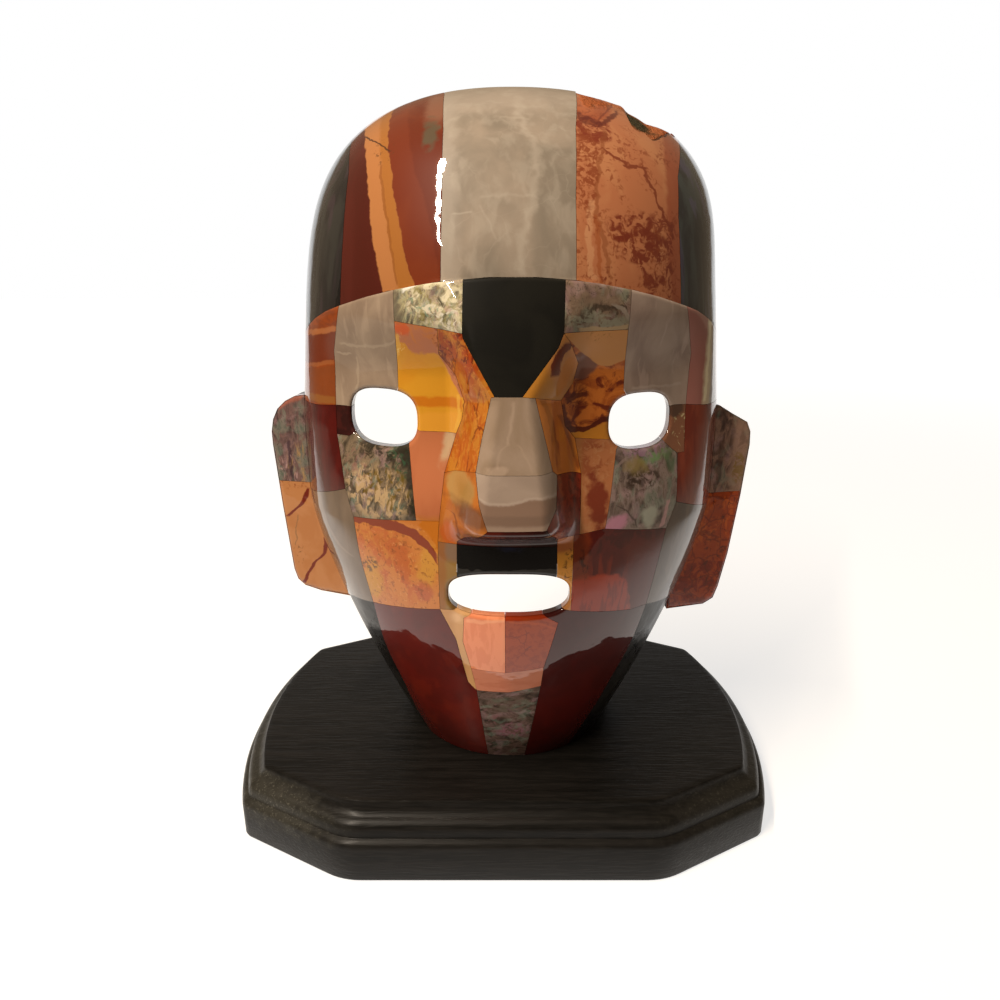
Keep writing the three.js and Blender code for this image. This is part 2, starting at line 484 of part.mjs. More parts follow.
// Plates of the mosaic: node name, stone, which face they belong to, outline
const PLATES = (() => {
  const c = corner;
  const up = foreheadSeam;
  const down = (seam) => [...foreheadSeam[seam]].reverse();
  const forehead = (name, stone, outline) => ({ name, stone, outline, onForehead: true });
  const face = (name, stone, outline) => ({ name, stone, outline, onForehead: false });
  return [
    forehead('forehead_side_left', 'obsidian', [
      ...down('sideLeft'), ...browEnd.left, templeEnd.topLeft, [-OUTSIDE, ABOVE]]),
    forehead('forehead_jasper_left', 'stripedJasper', [...down('sideLeft'), brow(-27), ...up.left]),
    forehead('forehead_quartz', 'greyQuartz', [...down('left'), brow(-5), brow(5), ...up.right]),
    forehead('forehead_jasper_right', 'dendriteJasper', [...down('right'), brow(26), ...up.sideRight]),
    forehead('forehead_side_right', 'obsidian', [
      ...down('sideRight'), ...browEnd.right, templeEnd.topRight, [OUTSIDE, ABOVE]]),
    face('temple_upper_left', 'bandedJasper', [
      c.eyeSideTopLeft, c.templeLeft, c.browSideLeft, ...browEnd.left, templeEnd.topLeft,
      templeEnd.middleLeft]),
    face('temple_lower_left', 'redJasper', [
      c.eyeSideTopLeft, c.eyeSideFootLeft, c.templeFootLeft, c.templeFootBackLeft, templeEnd.footLeft,
      templeEnd.middleLeft]),
    face('brow_quartz_left', 'greyQuartz', [
      c.browSideLeft, brow(-32), c.browOuterLeft, c.browFootOuterLeft, c.lidInnerLeft, c.eyeLeft,
      c.lidOuterLeft, c.eyeSideTopLeft, c.templeLeft]),
    face('eye_corner_left', 'redJasper', [
      c.eyeSideTopLeft, c.lidOuterLeft, c.eyeLeft, c.lidOuterFootLeft, c.eyeSideFootLeft]),
    face('brow_abalone_left', 'abalone', [
      c.browOuterLeft, brow(-18), c.browInnerLeft, c.browFootInnerLeft, c.browFootLeft,
      c.browFootOuterLeft]),
    face('brow_obsidian', 'obsidian', [
      c.browInnerLeft, brow(0), c.browInnerRight, c.obsidianShoulderRight, c.obsidianSideRight,
      c.obsidianTipRight, c.obsidianTipLeft, c.obsidianSideLeft, c.browFootInnerLeft]),
    face('brow_abalone_right', 'abalone', [
      c.browInnerRight, brow(18), c.browOuterRight, c.browFootOuterRight, c.obsidianShoulderRight]),
    face('brow_quartz_right', 'greyQuartz', [
      c.browOuterRight, brow(32), c.browSideRight, c.templeRight, c.eyeSideTopRight, c.lidOuterRight,
      c.eyeRight, c.lidInnerRight, c.browFootOuterRight]),
    face('eye_corner_right', 'redJasper', [
      c.eyeSideTopRight, c.eyeSideFootRight, c.cheekCornerTopRight, c.lidOuterFootRight, c.eyeRight,
      c.lidOuterRight]),
    face('temple_upper_right', 'bandedJasper', [
      c.eyeSideTopRight, c.templeRight, c.browSideRight, ...browEnd.right, templeEnd.topRight,
      templeEnd.middleRight]),
    face('temple_lower_right', 'redJasper', [
      c.eyeSideTopRight, templeEnd.middleRight, templeEnd.footRight, c.templeFootBackRight,
      c.templeFootRight, c.cheekCornerTopRight, c.eyeSideFootRight]),
    face('socket_jasper_left', 'yellowJasper', [
      c.browFootOuterLeft, c.browFootLeft, c.creaseTopLeft, c.creaseUpperLeft, c.creaseMiddleLeft,
      c.creaseLowerLeft, c.creaseFootLeft, c.lidInnerFootLeft, c.eyeLeft, c.lidInnerLeft]),
    face('nose_side_left', 'brecciaJasper', [
      c.browFootLeft, c.browFootInnerLeft, c.obsidianSideLeft, c.obsidianTipLeft, c.ridgeTopLeft,
      c.ridgeMiddleLeft, c.ridgeFootLeft, c.nostrilTopLeft, c.creaseFootLeft, c.creaseLowerLeft,
      c.creaseMiddleLeft, c.creaseUpperLeft, c.creaseTopLeft]),
    face('cheek_jasper_left', 'pinkJasper', [
      c.lidInnerFootLeft, c.creaseFootLeft, c.nostrilTopLeft, c.cheekFootInnerLeft, c.cheekFootLeft,
      c.cheekTopLeft, c.eyeLeft]),
    face('cheek_abalone_left', 'abalone', [
      c.eyeSideFootLeft, c.lidOuterFootLeft, c.eyeLeft, c.cheekTopLeft, c.cheekFootLeft,
      c.cheekCornerLeft, c.templeFootLeft]),
    face('side_quartz_left', 'greyQuartz', [
      c.templeFootLeft, c.cheekCornerLeft, c.cheekSideLeft, c.jawTopOuterLeft, ...JAW_EDGE_LEFT,
      templeEnd.footLeft, c.templeFootBackLeft]),
    face('lower_cheek_left', 'brecciaJasper', [
      c.cheekCornerLeft, c.cheekFootLeft, c.cheekFootInnerLeft, c.cornerTopLeft, c.jawTopInnerLeft,
      c.jawTopOuterLeft, c.cheekSideLeft]),
    face('nose_wing_left', 'brecciaJasper', [
      c.nostrilTopLeft, c.ridgeFootLeft, c.tipLowLeft, c.tipFootLeft, c.nostrilFootLeft, c.lipTopLeft,
      c.cornerTopLeft, c.cheekFootInnerLeft]),
    face('mouth_corner_left', 'yellowJasper', [
      c.cornerTopLeft, c.lipTopLeft, c.lipFootLeft, c.mouth, c.sliverTopLeft, c.jawTopInnerLeft]),
    face('nose_ridge', 'greyQuartz', [
      c.ridgeTopLeft, c.obsidianTipLeft, c.obsidianTipRight, c.ridgeTopRight, c.ridgeFootRight,
      c.ridgeFootLeft, c.ridgeMiddleLeft]),
    face('nose_tip', 'greyQuartz', [
      c.ridgeFootLeft, c.ridgeFootRight, c.tipSideRight, c.tipLowRight, c.tipFootRight, c.tipFootLeft,
      c.tipLowLeft]),
    face('nose_underside', 'redJasper', [
      c.tipFootLeft, c.tipFootRight, c.nostrilFootRight, c.lipTopRight, c.lipTopLeft,
      c.nostrilFootLeft]),
    face('nose_side_upper_right', 'yellowJasper', [
      c.obsidianShoulderRight, c.creaseShoulderRight, c.creaseTopRight, c.creaseUpperRight,
      c.creaseMiddleRight, c.ridgeTopRight, c.obsidianTipRight, c.obsidianSideRight]),
    face('nose_side_lower_right', 'yellowJasper', [
      c.ridgeTopRight, c.creaseMiddleRight, c.creaseLowerRight, c.cheekTopInnerRight,
      c.nostrilTopRight, c.tipSideRight, c.ridgeFootRight]),
    face('socket_jasper_right', 'brecciaJasper', [
      c.obsidianShoulderRight, c.browFootOuterRight, c.lidInnerRight, c.eyeRight,
      c.lidInnerFootRight, c.cheekTopInnerRight, c.creaseLowerRight, c.creaseMiddleRight,
      c.creaseUpperRight, c.creaseTopRight, c.creaseShoulderRight]),
    face('cheek_jasper_right', 'pinkJasper', [
      c.cheekTopInnerRight, c.lidInnerFootRight, c.eyeRight, c.cheekTopRight, c.cheekFootRight,
      c.cheekFootInnerRight, c.nostrilTopRight]),
    face('cheek_abalone_right', 'abalone', [
      c.cheekTopRight, c.eyeRight, c.lidOuterFootRight, c.cheekCornerTopRight, c.templeFootRight,
      c.cheekCornerRight, c.cheekFootRight]),
    face('nose_wing_right', 'redJasper', [
      c.tipSideRight, c.nostrilTopRight, c.cheekFootInnerRight, c.cornerTopRight,
      c.nostrilFootRight, c.tipFootRight, c.tipLowRight]),
    face('mouth_corner_right', 'yellowJasper', [
      c.nostrilFootRight, c.cornerTopRight, c.cornerFootRight, c.mouth, c.lipFootRight,
      c.lipTopRight]),
    face('side_quartz_right', 'greyQuartz', [
      c.templeFootRight, c.templeFootBackRight, templeEnd.footRight, ...[...JAW_EDGE_RIGHT].reverse(),
      c.jawTopOuterRight, c.cheekCornerRight]),
    face('lower_cheek_right', 'pinkJasper', [
      c.cornerTopRight, c.cheekFootInnerRight, c.cheekFootRight, c.cheekCornerRight,
      c.jawTopOuterRight, c.jawTopMiddleRight, c.cornerFootRight]),
    face('upper_lip_obsidian', 'obsidian', [
      c.lipTopLeft, c.lipTopRight, c.lipFootRight, c.mouth, c.lipFootLeft]),
    face('lip_sliver_left', 'yellowJasper', [
      c.jawTopInnerLeft, c.sliverTopLeft, c.mouth, c.lowerLipLeft, c.lipSideLeft, c.bandTopLeft,
      c.bandFootLeft, c.sliverFootLeft, c.sliverMiddleLeft]),
    face('lower_lip_left', 'palePinkJasper', [
      c.lowerLipLeft, c.mouth, c.lowerLipMiddle, c.bandTopMiddle, c.bandTopLeft, c.lipSideLeft]),
    face('lower_lip_right', 'pinkJasper', [
      c.lowerLipMiddle, c.mouth, c.lowerLipRight, c.bandTopRight, c.bandTopMiddle]),
    face('chin_band', 'palePinkJasper', [
      c.bandTopLeft, c.bandTopMiddle, c.bandTopRight, c.bandFootRight, c.bandFootMiddle,
      c.bandFootLeft]),
    face('chin_abalone', 'abalone', [
      c.bandFootLeft, c.bandFootMiddle, c.bandFootRight, c.chinFootRight, c.chinFootLeft]),
    face('jaw_jasper_left', 'redJasper', [
      c.jawTopOuterLeft, c.jawTopInnerLeft, c.sliverMiddleLeft, c.sliverFootLeft, c.bandFootLeft,
      c.chinFootLeft, ...[...JAW_SIDE_LEFT].reverse()]),
    face('jaw_jasper_right', 'redJasper', [
      c.lowerLipRight, c.mouth, c.cornerFootRight, c.jawTopMiddleRight, c.jawTopOuterRight,
      ...JAW_SIDE_RIGHT, c.chinFootRight, c.bandFootRight, c.bandTopRight]),
  ];
})();

// Outline of everything that the mosaic covers: the jaw's edges below, and past the mask elsewhere
const MOSAIC_OUTLINE = [
  ...[...JAW_SIDE_LEFT].reverse(), corner.jawTopOuterLeft, ...JAW_EDGE_LEFT, [-OUTSIDE, ABOVE],
  [OUTSIDE, ABOVE], ...[...JAW_EDGE_RIGHT].reverse(), corner.jawTopOuterRight, ...JAW_SIDE_RIGHT,
];

// Prism of the mosaic's extent, from far in front back to the plane where the plates end
function mosaicPrism(grow) {
  return prismSolid(offsetOutline(MOSAIC_OUTLINE, grow), PRISM_FRONT_Y, PLATE_EDGE_Y + grow);
}

// What the chip takes off the crown: a prism bent down along its line at turnY
function chipSolid() {
  const [start, end] = [CHIP.line[0], CHIP.line[CHIP.line.length - 1]];
  const outline = [...CHIP.line, [end[0], ABOVE], [start[0], ABOVE]];
  const reach = CHIP.turnY - PRISM_FRONT_Y;
  const geometry = prismGeometry(outline, PRISM_FRONT_Y, CHIP.turnY + reach, 2);
  const position = geometry.attributes.position;
  for (let i = 0; i < position.count; i += 1) {
    const behind = position.getY(i) - CHIP.turnY;
    const slope = behind > 0 ? CHIP.slopeBehind : CHIP.slopeInFront;
    position.setZ(i, position.getZ(i) + slope * behind);
  }
  return solidFrom(geometry);
}

const openings = (grow) => [EYE_LEFT, EYE_RIGHT, MOUTH]
  .map((opening) => prismSolid(ovalOutline(opening, grow)))
  .reduce((all, hole) => all.add(hole));

// Slab of one ear between two depths behind its front, swept back towards its outer edge
function earSlab(ear, side, from, to, outline = ear.outline) {
  const placed = outline.map(([out, z]) => [side * out, z]);
  const geometry = prismGeometry(placed, EAR_FRONT_Y + from, EAR_FRONT_Y + to);
  const position = geometry.attributes.position;
  for (let i = 0; i < position.count; i += 1) {
    const sweep = EAR_SWEEP * (Math.abs(position.getX(i)) - EAR_SWEEP_FROM);
    position.setY(i, position.getY(i) + sweep);
  }
  return solidFrom(geometry);
}

// Part of an ear's outline on one side of its seam
function earPlateOutline(ear, upper) {
  const edge = upper ? ear.seam + SEAM / 2 : ear.seam - SEAM / 2;
  const inside = (z) => (upper ? z > edge : z < edge);
  const cut = [];
  ear.outline.forEach(([x0, z0], i) => {
    const [x1, z1] = ear.outline[(i + 1) % ear.outline.length];
    if (inside(z0)) cut.push([x0, z0]);
    if (inside(z0) !== inside(z1)) cut.push([x0 + ((x1 - x0) * (edge - z0)) / (z1 - z0), edge]);
  });
  return cut;
}

function material(color, roughness, metalness = 0) {
  return new THREE.MeshStandardMaterial({ color, roughness, metalness });
}

function namedMesh(name, geometry, meshMaterial) {
  const mesh = new THREE.Mesh(geometry, meshMaterial);
  mesh.name = name;
  return mesh;
}

// Outline of the base, as [x, y], moved in from the widest line by `inset`
function baseOutline(inset) {
  const halfLength = BASE_LENGTH / 2;
  const halfDepth = BASE_DEPTH / 2;
  const endX = halfLength - BASE_END_BOW;
  const endY = halfDepth - BASE_CORNER_CUT.across;
  const radius = (endY ** 2 + BASE_END_BOW ** 2) / (2 * BASE_END_BOW);
  const sweep = Math.asin(endY / radius);
  const end = (side) => Array.from({ length: BASE_BOW_STEPS + 1 }, (_, i) => {
    const angle = sweep * ((2 * i) / BASE_BOW_STEPS - 1);
    return [side * (halfLength - radius + radius * Math.cos(angle)), side * radius * Math.sin(angle)];
  });
  const frontX = endX - BASE_CORNER_CUT.along;
  const outline = [
    [-frontX, -halfDepth], [frontX, -halfDepth], ...end(1), [frontX, halfDepth], [-frontX, halfDepth],
    ...end(-1),
  ];
  return offsetOutline(outline, -inset);
}

function baseGeometry() {
  const rings = BASE_EDGE.map(([inset, height]) => (
    baseOutline(inset).map(([x, y]) => new THREE.Vector3(x, y, height))));
  const around = rings[0].length;
  const triangles = [];
  for (let ring = 0; ring < rings.length - 1; ring += 1) {
    for (let i = 0; i < around; i += 1) {
      const [a, b] = [ring * around + i, ring * around + ((i + 1) % around)];
      triangles.push([a, b, b + around], [a, b + around, a + around]);
    }
  }
  const lid = (rings.length - 1) * around;
  for (let i = 1; i < around - 1; i += 1) {
    triangles.push([0, i + 1, i], [lid, lid + i, lid + i + 1]);
  }
  const geometry = geometryFrom(rings.flat(), triangles);
  geometry.computeVertexNormals();
  return geometry;
}

const chip = chipSolid();
const underPlates = prismSolid([
  [-OUTSIDE, 0], [OUTSIDE, 0], [OUTSIDE, PLATE_FOOT_Z], [-OUTSIDE, PLATE_FOOT_Z],
]);
const polished = domeSolid({ inset: 0, bottomZ: BOTTOM_Z });
const ears = [[EAR_LEFT, -1], [EAR_RIGHT, 1]];

// Shell that carries the plates: solid dome and ears, hollowed from behind, with a pocket for the plates
function backingSolid() {
  const hollow = domeSolid({
    inset: SHELL_INSIDE,
    bottomZ: BOTTOM_Z + FOOT_THICKNESS,
    backY: BACK_Y + OVERRUN,
    noseShare: HOLLOW_NOSE_SHARE,
    coarse: true,
  });
  const earBlocks = ears.map(([ear, side]) => earSlab(ear, side, EAR_PLATE_THICKNESS + SEAM, EAR_THICKNESS));
  const reach = domeSolid({ inset: -SEAM, bottomZ: BELOW });
  const floor = domeSolid({
    inset: POCKET_FLOOR, bottomZ: BELOW - OVERRUN, backY: BACK_Y + OVERRUN, coarse: true,
  });
  const pocket = reach.subtract(floor).intersect(mosaicPrism(SEAM / 2));
  return earBlocks.reduce((body, block) => body.add(block), polished)
    .subtract(hollow)
    .subtract(pocket)
    .subtract(openings(OPENING_FLARE))
    .subtract(chip);
}

// Layer that the plates are cut out of, from the face's or the forehead's surface down to their backs
function plateLayer(onForehead) {
  const front = domeSolid({ inset: 0, bottomZ: BELOW, onForehead });
  const back = domeSolid({
    inset: PLATE_BACK, bottomZ: BELOW - OVERRUN, backY: BACK_Y + OVERRUN, coarse: true,
  });
  return front.subtract(back)
    .intersect(mosaicPrism(-SEAM / 2))
    .subtract(underPlates)
    .subtract(openings(0))
    .subtract(chip);
}

const mask = new THREE.Group();
mask.position.x = MASK_OFFSET_X;
mask.add(namedMesh('mask_backing', geometryOf(backingSolid()), material(0x15120f, 0.3)));

const faceLayer = plateLayer(false);
const foreheadLayer = plateLayer(true);
PLATES.forEach(({ name, stone, outline, onForehead }) => {
  const layer = onForehead ? foreheadLayer : faceLayer;
  const plate = layer.intersect(prismSolid(offsetOutline(outline, -SEAM / 2)));
  const { color, roughness } = STONES[stone];
  mask.add(namedMesh(name, geometryOf(plate), material(color, roughness)));
});

const clearOfFace = domeSolid({ inset: -SEAM, bottomZ: BELOW, backY: BACK_Y + OVERRUN });
ears.forEach(([ear, side]) => {
  const label = side < 0 ? 'left' : 'right';
  [['upper', true, 'abalone'], ['lower', false, 'dendriteJasper']].forEach(([place, upper, stone]) => {
    const outline = earPlateOutline(ear, upper);
    const plate = earSlab(ear, side, 0, EAR_PLATE_THICKNESS, outline).subtract(clearOfFace);
    const { color, roughness } = STONES[stone];
    mask.add(namedMesh(`ear_${place}_${label}`, geometryOf(plate), material(color, roughness)));
  });
});

const model = new THREE.Group();
model.position.y = NOSE_OVERHANG / 2;
model.add(mask);
model.add(namedMesh('base', baseGeometry(), material(0x1c1917, 0.45)));

export default model;
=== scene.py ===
"""Looks of a stone mosaic mask on a moulded base: polished plates, black resin shell, stained wood.

Lengths are millimetres in the script's own sums and metres in Blender. The face's own coordinates
have x = 0 on the mask's middle line and y = 10 on its back edge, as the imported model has.
"""

import json
import math

import bpy
import numpy as np
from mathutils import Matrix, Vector
from mathutils.geometry import delaunay_2d_cdt

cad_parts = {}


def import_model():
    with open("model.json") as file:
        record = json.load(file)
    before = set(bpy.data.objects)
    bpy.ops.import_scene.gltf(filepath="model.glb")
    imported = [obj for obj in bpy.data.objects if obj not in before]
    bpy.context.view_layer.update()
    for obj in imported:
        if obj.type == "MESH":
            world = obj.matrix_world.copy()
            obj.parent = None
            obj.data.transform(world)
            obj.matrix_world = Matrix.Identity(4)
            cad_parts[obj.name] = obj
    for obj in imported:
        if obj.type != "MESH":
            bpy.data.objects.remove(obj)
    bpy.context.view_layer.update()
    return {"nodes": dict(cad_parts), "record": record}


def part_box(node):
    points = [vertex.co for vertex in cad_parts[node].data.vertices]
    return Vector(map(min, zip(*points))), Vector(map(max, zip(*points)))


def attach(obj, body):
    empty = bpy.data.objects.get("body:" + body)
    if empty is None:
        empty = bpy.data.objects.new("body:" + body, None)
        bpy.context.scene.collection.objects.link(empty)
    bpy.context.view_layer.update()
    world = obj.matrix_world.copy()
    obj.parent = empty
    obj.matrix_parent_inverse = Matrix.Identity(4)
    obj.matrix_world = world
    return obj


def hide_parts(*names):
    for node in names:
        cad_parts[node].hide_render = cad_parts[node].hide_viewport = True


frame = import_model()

MM = 0.001

# The mask's own middle line and back edge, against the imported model's
MASK_X = 1.8
BACK_Y = 10.0
mask_low, mask_high = (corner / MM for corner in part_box("mask_backing"))
base_low, base_high = (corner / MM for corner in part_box("base"))
PLACE = np.array([MASK_X, mask_high.y - BACK_Y, 0.0])

# Domed front
BOTTOM_Z = mask_low.z
TOP_Z = mask_high.z
JAW_Z = 87.5
WIDEST_Z = 110.0
HALF_WIDTH = 56.85
FRONT_DEPTH = 52.0
SECTION_POWER = 2.15
JAW_NARROWING, JAW_POWER = 26.3, 1.33
CHIN_RECEDING, CHIN_POWER = 14.7, 2.6
CROWN_TAPER, CROWN_POWER, CROWN_ROUND = 0.095, 5.9, 1.9
CROWN_DEPTH_POWER, CROWN_DEPTH_ROUND = 3.7, 1.4
CROWN_SWELL_RIGHT, SWELL_FROM_Z, SWELL_RUN = 0.043, 141, 35

# Layers, measured in from the polished face
PLATE_BACK = 3.2
SHELL_BEHIND = 0.3
THINNEST_PLATE, THINNEST_AT_RIM = 0.4, 0.03
PLATE_EDGE_Y = -1.0
SHELL_INSIDE = 6.5
HOLLOW_NOSE_SHARE = 0.5
CAVITY_FLOOR_Z = BOTTOM_Z + 7
SEAM = 0.3
SEEN_SEAM = 0.08

# Carving of the face: a slope is the place where it begins and the run of its rise or fall
BROW_Z, BROW_DROOP, BROW_END_X, BROW_END_DROOP = 144.4, 0.004, 42, 0.02
FOREHEAD_STEP = 1.5
STEP_SIDE_X, STEP_SIDE_RUN = 36, 14
STEP_TOP_Z, STEP_TOP_RUN = 158, 28
SOCKET_DEPTH = 4.5
SOCKET_TOP_Z, SOCKET_TOP_RUN = 138, 15
SOCKET_FOOT_Z, SOCKET_FOOT_RUN = 92, 20
SOCKET_INNER_X, SOCKET_INNER_RUN = 8, 7
SOCKET_OUTER_X, SOCKET_OUTER_RUN = 49, 12
NOSE_HEIGHT, NOSE_ROOT_Z, NOSE_LENGTH = 11, 144, 47
NOSE_BASE_Z, NOSE_BASE_RUN = 86.5, 6.5
NOSE_RIDGE = [(87, 6.5), (99, 5.5), (120, 2.6), (132, 8.5), (144, 12)]
NOSE_FOOT = [(87, 16), (98, 16), (111, 12.4), (119, 10.6), (128, 16), (144, 20)]
MUZZLE_HEIGHT, MUZZLE_Z, MUZZLE_HALF_WIDTH, MUZZLE_HALF_HEIGHT = 2, 70, 24, 20

# Openings: centre x, centre z, half width, half height, power
EYE_LEFT = (-29.8, 113.5, 8.4, 6.7, 2.7)
EYE_RIGHT = (29.7, 112.8, 7.9, 6.5, 2.7)
MOUTH = (-0.7, 73.8, 14.3, 5.6, 2.9)
OPENINGS = (EYE_LEFT, EYE_RIGHT, MOUTH)
LIP_ROUND = 0.9
BROW_ROUND = 0.7
OPENING_FLARE = 2.2

# Edges of the mosaic on the jaw, from the cheek down to the base
JAW_EDGE_LEFT = [(-70, 50), (-48.5, 58), (-41.8, 63.4), (-35, 65.5)]
JAW_EDGE_RIGHT = [(34.3, 65.3), (43.5, 62.4), (49, 57), (70, 50)]
JAW_SIDE_LEFT = [(-35, 65.5), (-33, 51.3), (-29, 39.3), (-26.3, 28), (-23, 19), (-20, 10)]
JAW_SIDE_RIGHT = [(34.3, 65.3), (31.2, 53), (27.5, 44.5), (22.6, 32.4), (17.8, 22), (13, 10)]
JAW_SIDE_STEPS = 12

# Broken edge of the crown: the line (x, height) where its face turns, and its slopes from there
CHIP_LINE = [
    (14.6, 186.8), (15.4, 185.4), (20.6, 184.2), (25.9, 182.7), (27, 181.4), (29.7, 180.1),
    (31.5, 179), (34.6, 178.2), (36.8, 177.4), (38.8, 176.4)]
CHIP_TURN_Y = -6.25
CHIP_BEHIND = 0.22
CHIP_IN_FRONT = 0.5
CHIP_REACH = 70.0
CHIP_EARTHY = (28, 178.5)
CHIPPED = "forehead_jasper_right"

# Ears: outline as (distance out, height), and the slab behind the plates
EAR_FRONT_Y = -7.0
EAR_SWEEP = 0.22
EAR_SWEEP_FROM = 50.0
EAR_THICKNESS = 10.5
EAR_PLATE_THICKNESS = 2.4
EAR_ROUND = 0.8
EAR_CORNER_CUT = 0.2
EARS = {
    "left": (-1, [
        (45, 58), (54, 58.8), (58.8, 60), (60.8, 61.8), (61.7, 64.8), (63.4, 84), (64.6, 101),
        (64.6, 104.6), (63.9, 107.9), (62.4, 110.8), (60, 113), (57.2, 114.4), (45, 116.5)]),
    "right": (1, [
        (45, 54), (56, 54.4), (58.8, 56), (60, 59.5), (62, 69.5), (64.1, 86.6), (65.3, 101),
        (65.1, 104.6), (63.9, 107.2), (59.5, 109.6), (55.5, 112), (45, 115)]),
}

# Fineness of the visible meshes
OUTLINE_STEP = 0.5
GRID_STEP = 0.85
CHIPPED_STEP = 0.5
BACK_STEP = 3.5
EDGE_RINGS = (0.08, 0.22, 0.45, 0.8, 1.2)
EAR_EDGE_RINGS = EDGE_RINGS[:4]
SEAM_RINGS = EDGE_RINGS[2:3]
DOME_STEP = 1.5
SHELL_SHARP_ANGLE = 35

# Far limits for cutting solids, well outside the mask
FAR_FRONT_Y = -80.0
FAR_SIDE_X = 70
FAR_ABOVE_Z = 200
OVERRUN = 1


def smooth_step(value):
    t = np.clip(value, 0, 1)
    return t * t * (3 - 2 * t)


def brow_height(x):
    """Height of the edge between the forehead's plates and the brow's."""
    past_end = np.clip(np.abs(x) - BROW_END_X, 0, None)
    return BROW_Z - BROW_DROOP * x * x - BROW_END_DROOP * past_end ** 2


def half_width(z, x):
    """Half width of the outline at height z, on the side of the middle that x is on."""
    below_jaw = np.clip(JAW_Z - z, 0, None) / (JAW_Z - BOTTOM_Z)
    lower = HALF_WIDTH - JAW_NARROWING * below_jaw ** JAW_POWER
    t = np.clip((z - WIDEST_Z) / (TOP_Z - WIDEST_Z), 0, 1)
    tapered = HALF_WIDTH - CROWN_TAPER * (z - WIDEST_Z)
    upper = tapered * (1 - t ** CROWN_POWER) ** (1 / CROWN_ROUND)
    on_right = np.asarray(x) > 0
    swell = 1 + CROWN_SWELL_RIGHT * smooth_step((z - SWELL_FROM_Z) / SWELL_RUN) * on_right
    return np.where(z > WIDEST_Z, upper * swell, lower)


def middle_depth(z):
    """Depth of the front on the middle line at height z."""
    below = np.clip(WIDEST_Z - z, 0, None) / (WIDEST_Z - BOTTOM_Z)
    lower = FRONT_DEPTH - CHIN_RECEDING * below ** CHIN_POWER
    t = np.clip((z - WIDEST_Z) / (TOP_Z - WIDEST_Z), 0, 1)
    upper = FRONT_DEPTH * (1 - t ** CROWN_DEPTH_POWER) ** (1 / CROWN_DEPTH_ROUND)
    return np.where(z > WIDEST_Z, upper, lower)


def brow_step(x, z):
    """How much of the step behind the brow there is, from none at the sides and the crown."""
    side = smooth_step((np.abs(x) - STEP_SIDE_X) / STEP_SIDE_RUN)
    return (1 - side) * (1 - smooth_step((z - STEP_TOP_Z) / STEP_TOP_RUN))


def value_at(pairs, z):
    """Value at height z on a line through (height, value) pairs."""
    heights, values = zip(*pairs)
    return np.interp(z, heights, values)


def relief(x, z, nose_share=1.0, on_forehead=False):
    """Height of the carving above the plain dome."""
    out = np.abs(x)
    socket = SOCKET_DEPTH * smooth_step((SOCKET_TOP_Z - z) / SOCKET_TOP_RUN)
    socket = socket * smooth_step((z - SOCKET_FOOT_Z) / SOCKET_FOOT_RUN)
    socket = socket * smooth_step((out - SOCKET_INNER_X) / SOCKET_INNER_RUN)
    socket = socket * smooth_step((SOCKET_OUTER_X - out) / SOCKET_OUTER_RUN)
    ridge, foot = value_at(NOSE_RIDGE, z), value_at(NOSE_FOOT, z)
    nose = NOSE_HEIGHT * np.clip((NOSE_ROOT_Z - z) / NOSE_LENGTH, 0, 1)
    nose = nose * (1 - smooth_step((out - ridge) / (foot - ridge)))
    nose = nose * smooth_step((z - NOSE_BASE_Z) / NOSE_BASE_RUN)
    away = np.hypot(x / MUZZLE_HALF_WIDTH, (z - MUZZLE_Z) / MUZZLE_HALF_HEIGHT)
    muzzle = MUZZLE_HEIGHT * np.exp(-(away ** 4))
    step = FOREHEAD_STEP * brow_step(x, z) if on_forehead else 0
    return nose_share * nose + muzzle - socket - step


def level_scale(inset):
    """Size of an inner layer of the dome, as a share of the polished face's."""
    return 1 - inset / (FRONT_DEPTH + 2)


def plain_height(z, scale):
    """Height on the outermost surface that a height on an inner one stands for."""
    return np.where(z > WIDEST_Z, WIDEST_Z + (z - WIDEST_Z) / scale, z)


def front_y(x, z, inset, nose_share=1.0, on_forehead=False):
    """y of the surface that lies `inset` in from the polished face."""
    scale = level_scale(inset)
    height = plain_height(z, scale)
    share = np.clip(np.abs(x) / np.maximum(scale * half_width(height, x), 1e-6), 0, 1)
    depth = scale * middle_depth(height) * (1 - share ** SECTION_POWER) ** (1 / SECTION_POWER)
    return BACK_Y - depth - relief(x, z, nose_share, on_forehead)


def chipped_y(x, z):
    """y of the broken face at the crown's right, and far in front where nothing is broken off."""
    line = np.array(CHIP_LINE)
    above = z - np.interp(x, line[:, 0], line[:, 1])
    y = CHIP_TURN_Y + above / np.where(above > 0, CHIP_BEHIND, CHIP_IN_FRONT)
    return np.where((x > line[0, 0]) & (x < line[-1, 0]), y, -1000.0)


def opening_distance(x, z, opening, grow=0.0):
    """Distance out from an opening's edge, close to it."""
    cx, cz, width, height, power = opening
    dx = np.abs(x - cx) / (width + grow)
    dz = np.abs(z - cz) / (height + grow)
    level = (dx ** power + dz ** power) ** (1 / power)
    slope = np.hypot(dx ** (power - 1) / (width + grow), dz ** (power - 1) / (height + grow))
    slope = slope / np.maximum(level, 1e-6) ** (power - 1)
    return (level - 1) / np.maximum(slope, 1e-6)


def rounding(distance, radius):
    """Drop of a rounded edge at a distance from its outermost line."""
    left = np.clip(radius - distance, 0, radius)
    return radius - np.sqrt(radius * radius - left * left)


def polished_y(x, z, on_forehead=False):
    """y of a plate's polished face, with its edge rounded over at the openings and under the brow."""
    drop = 0.0
    for opening in OPENINGS:
        drop = drop + rounding(opening_distance(x, z, opening), LIP_ROUND)
    if not on_forehead:
        drop = drop + rounding(brow_height(x) - z, BROW_ROUND) * brow_step(x, z)
    return front_y(x, z, 0, on_forehead=on_forehead) + drop


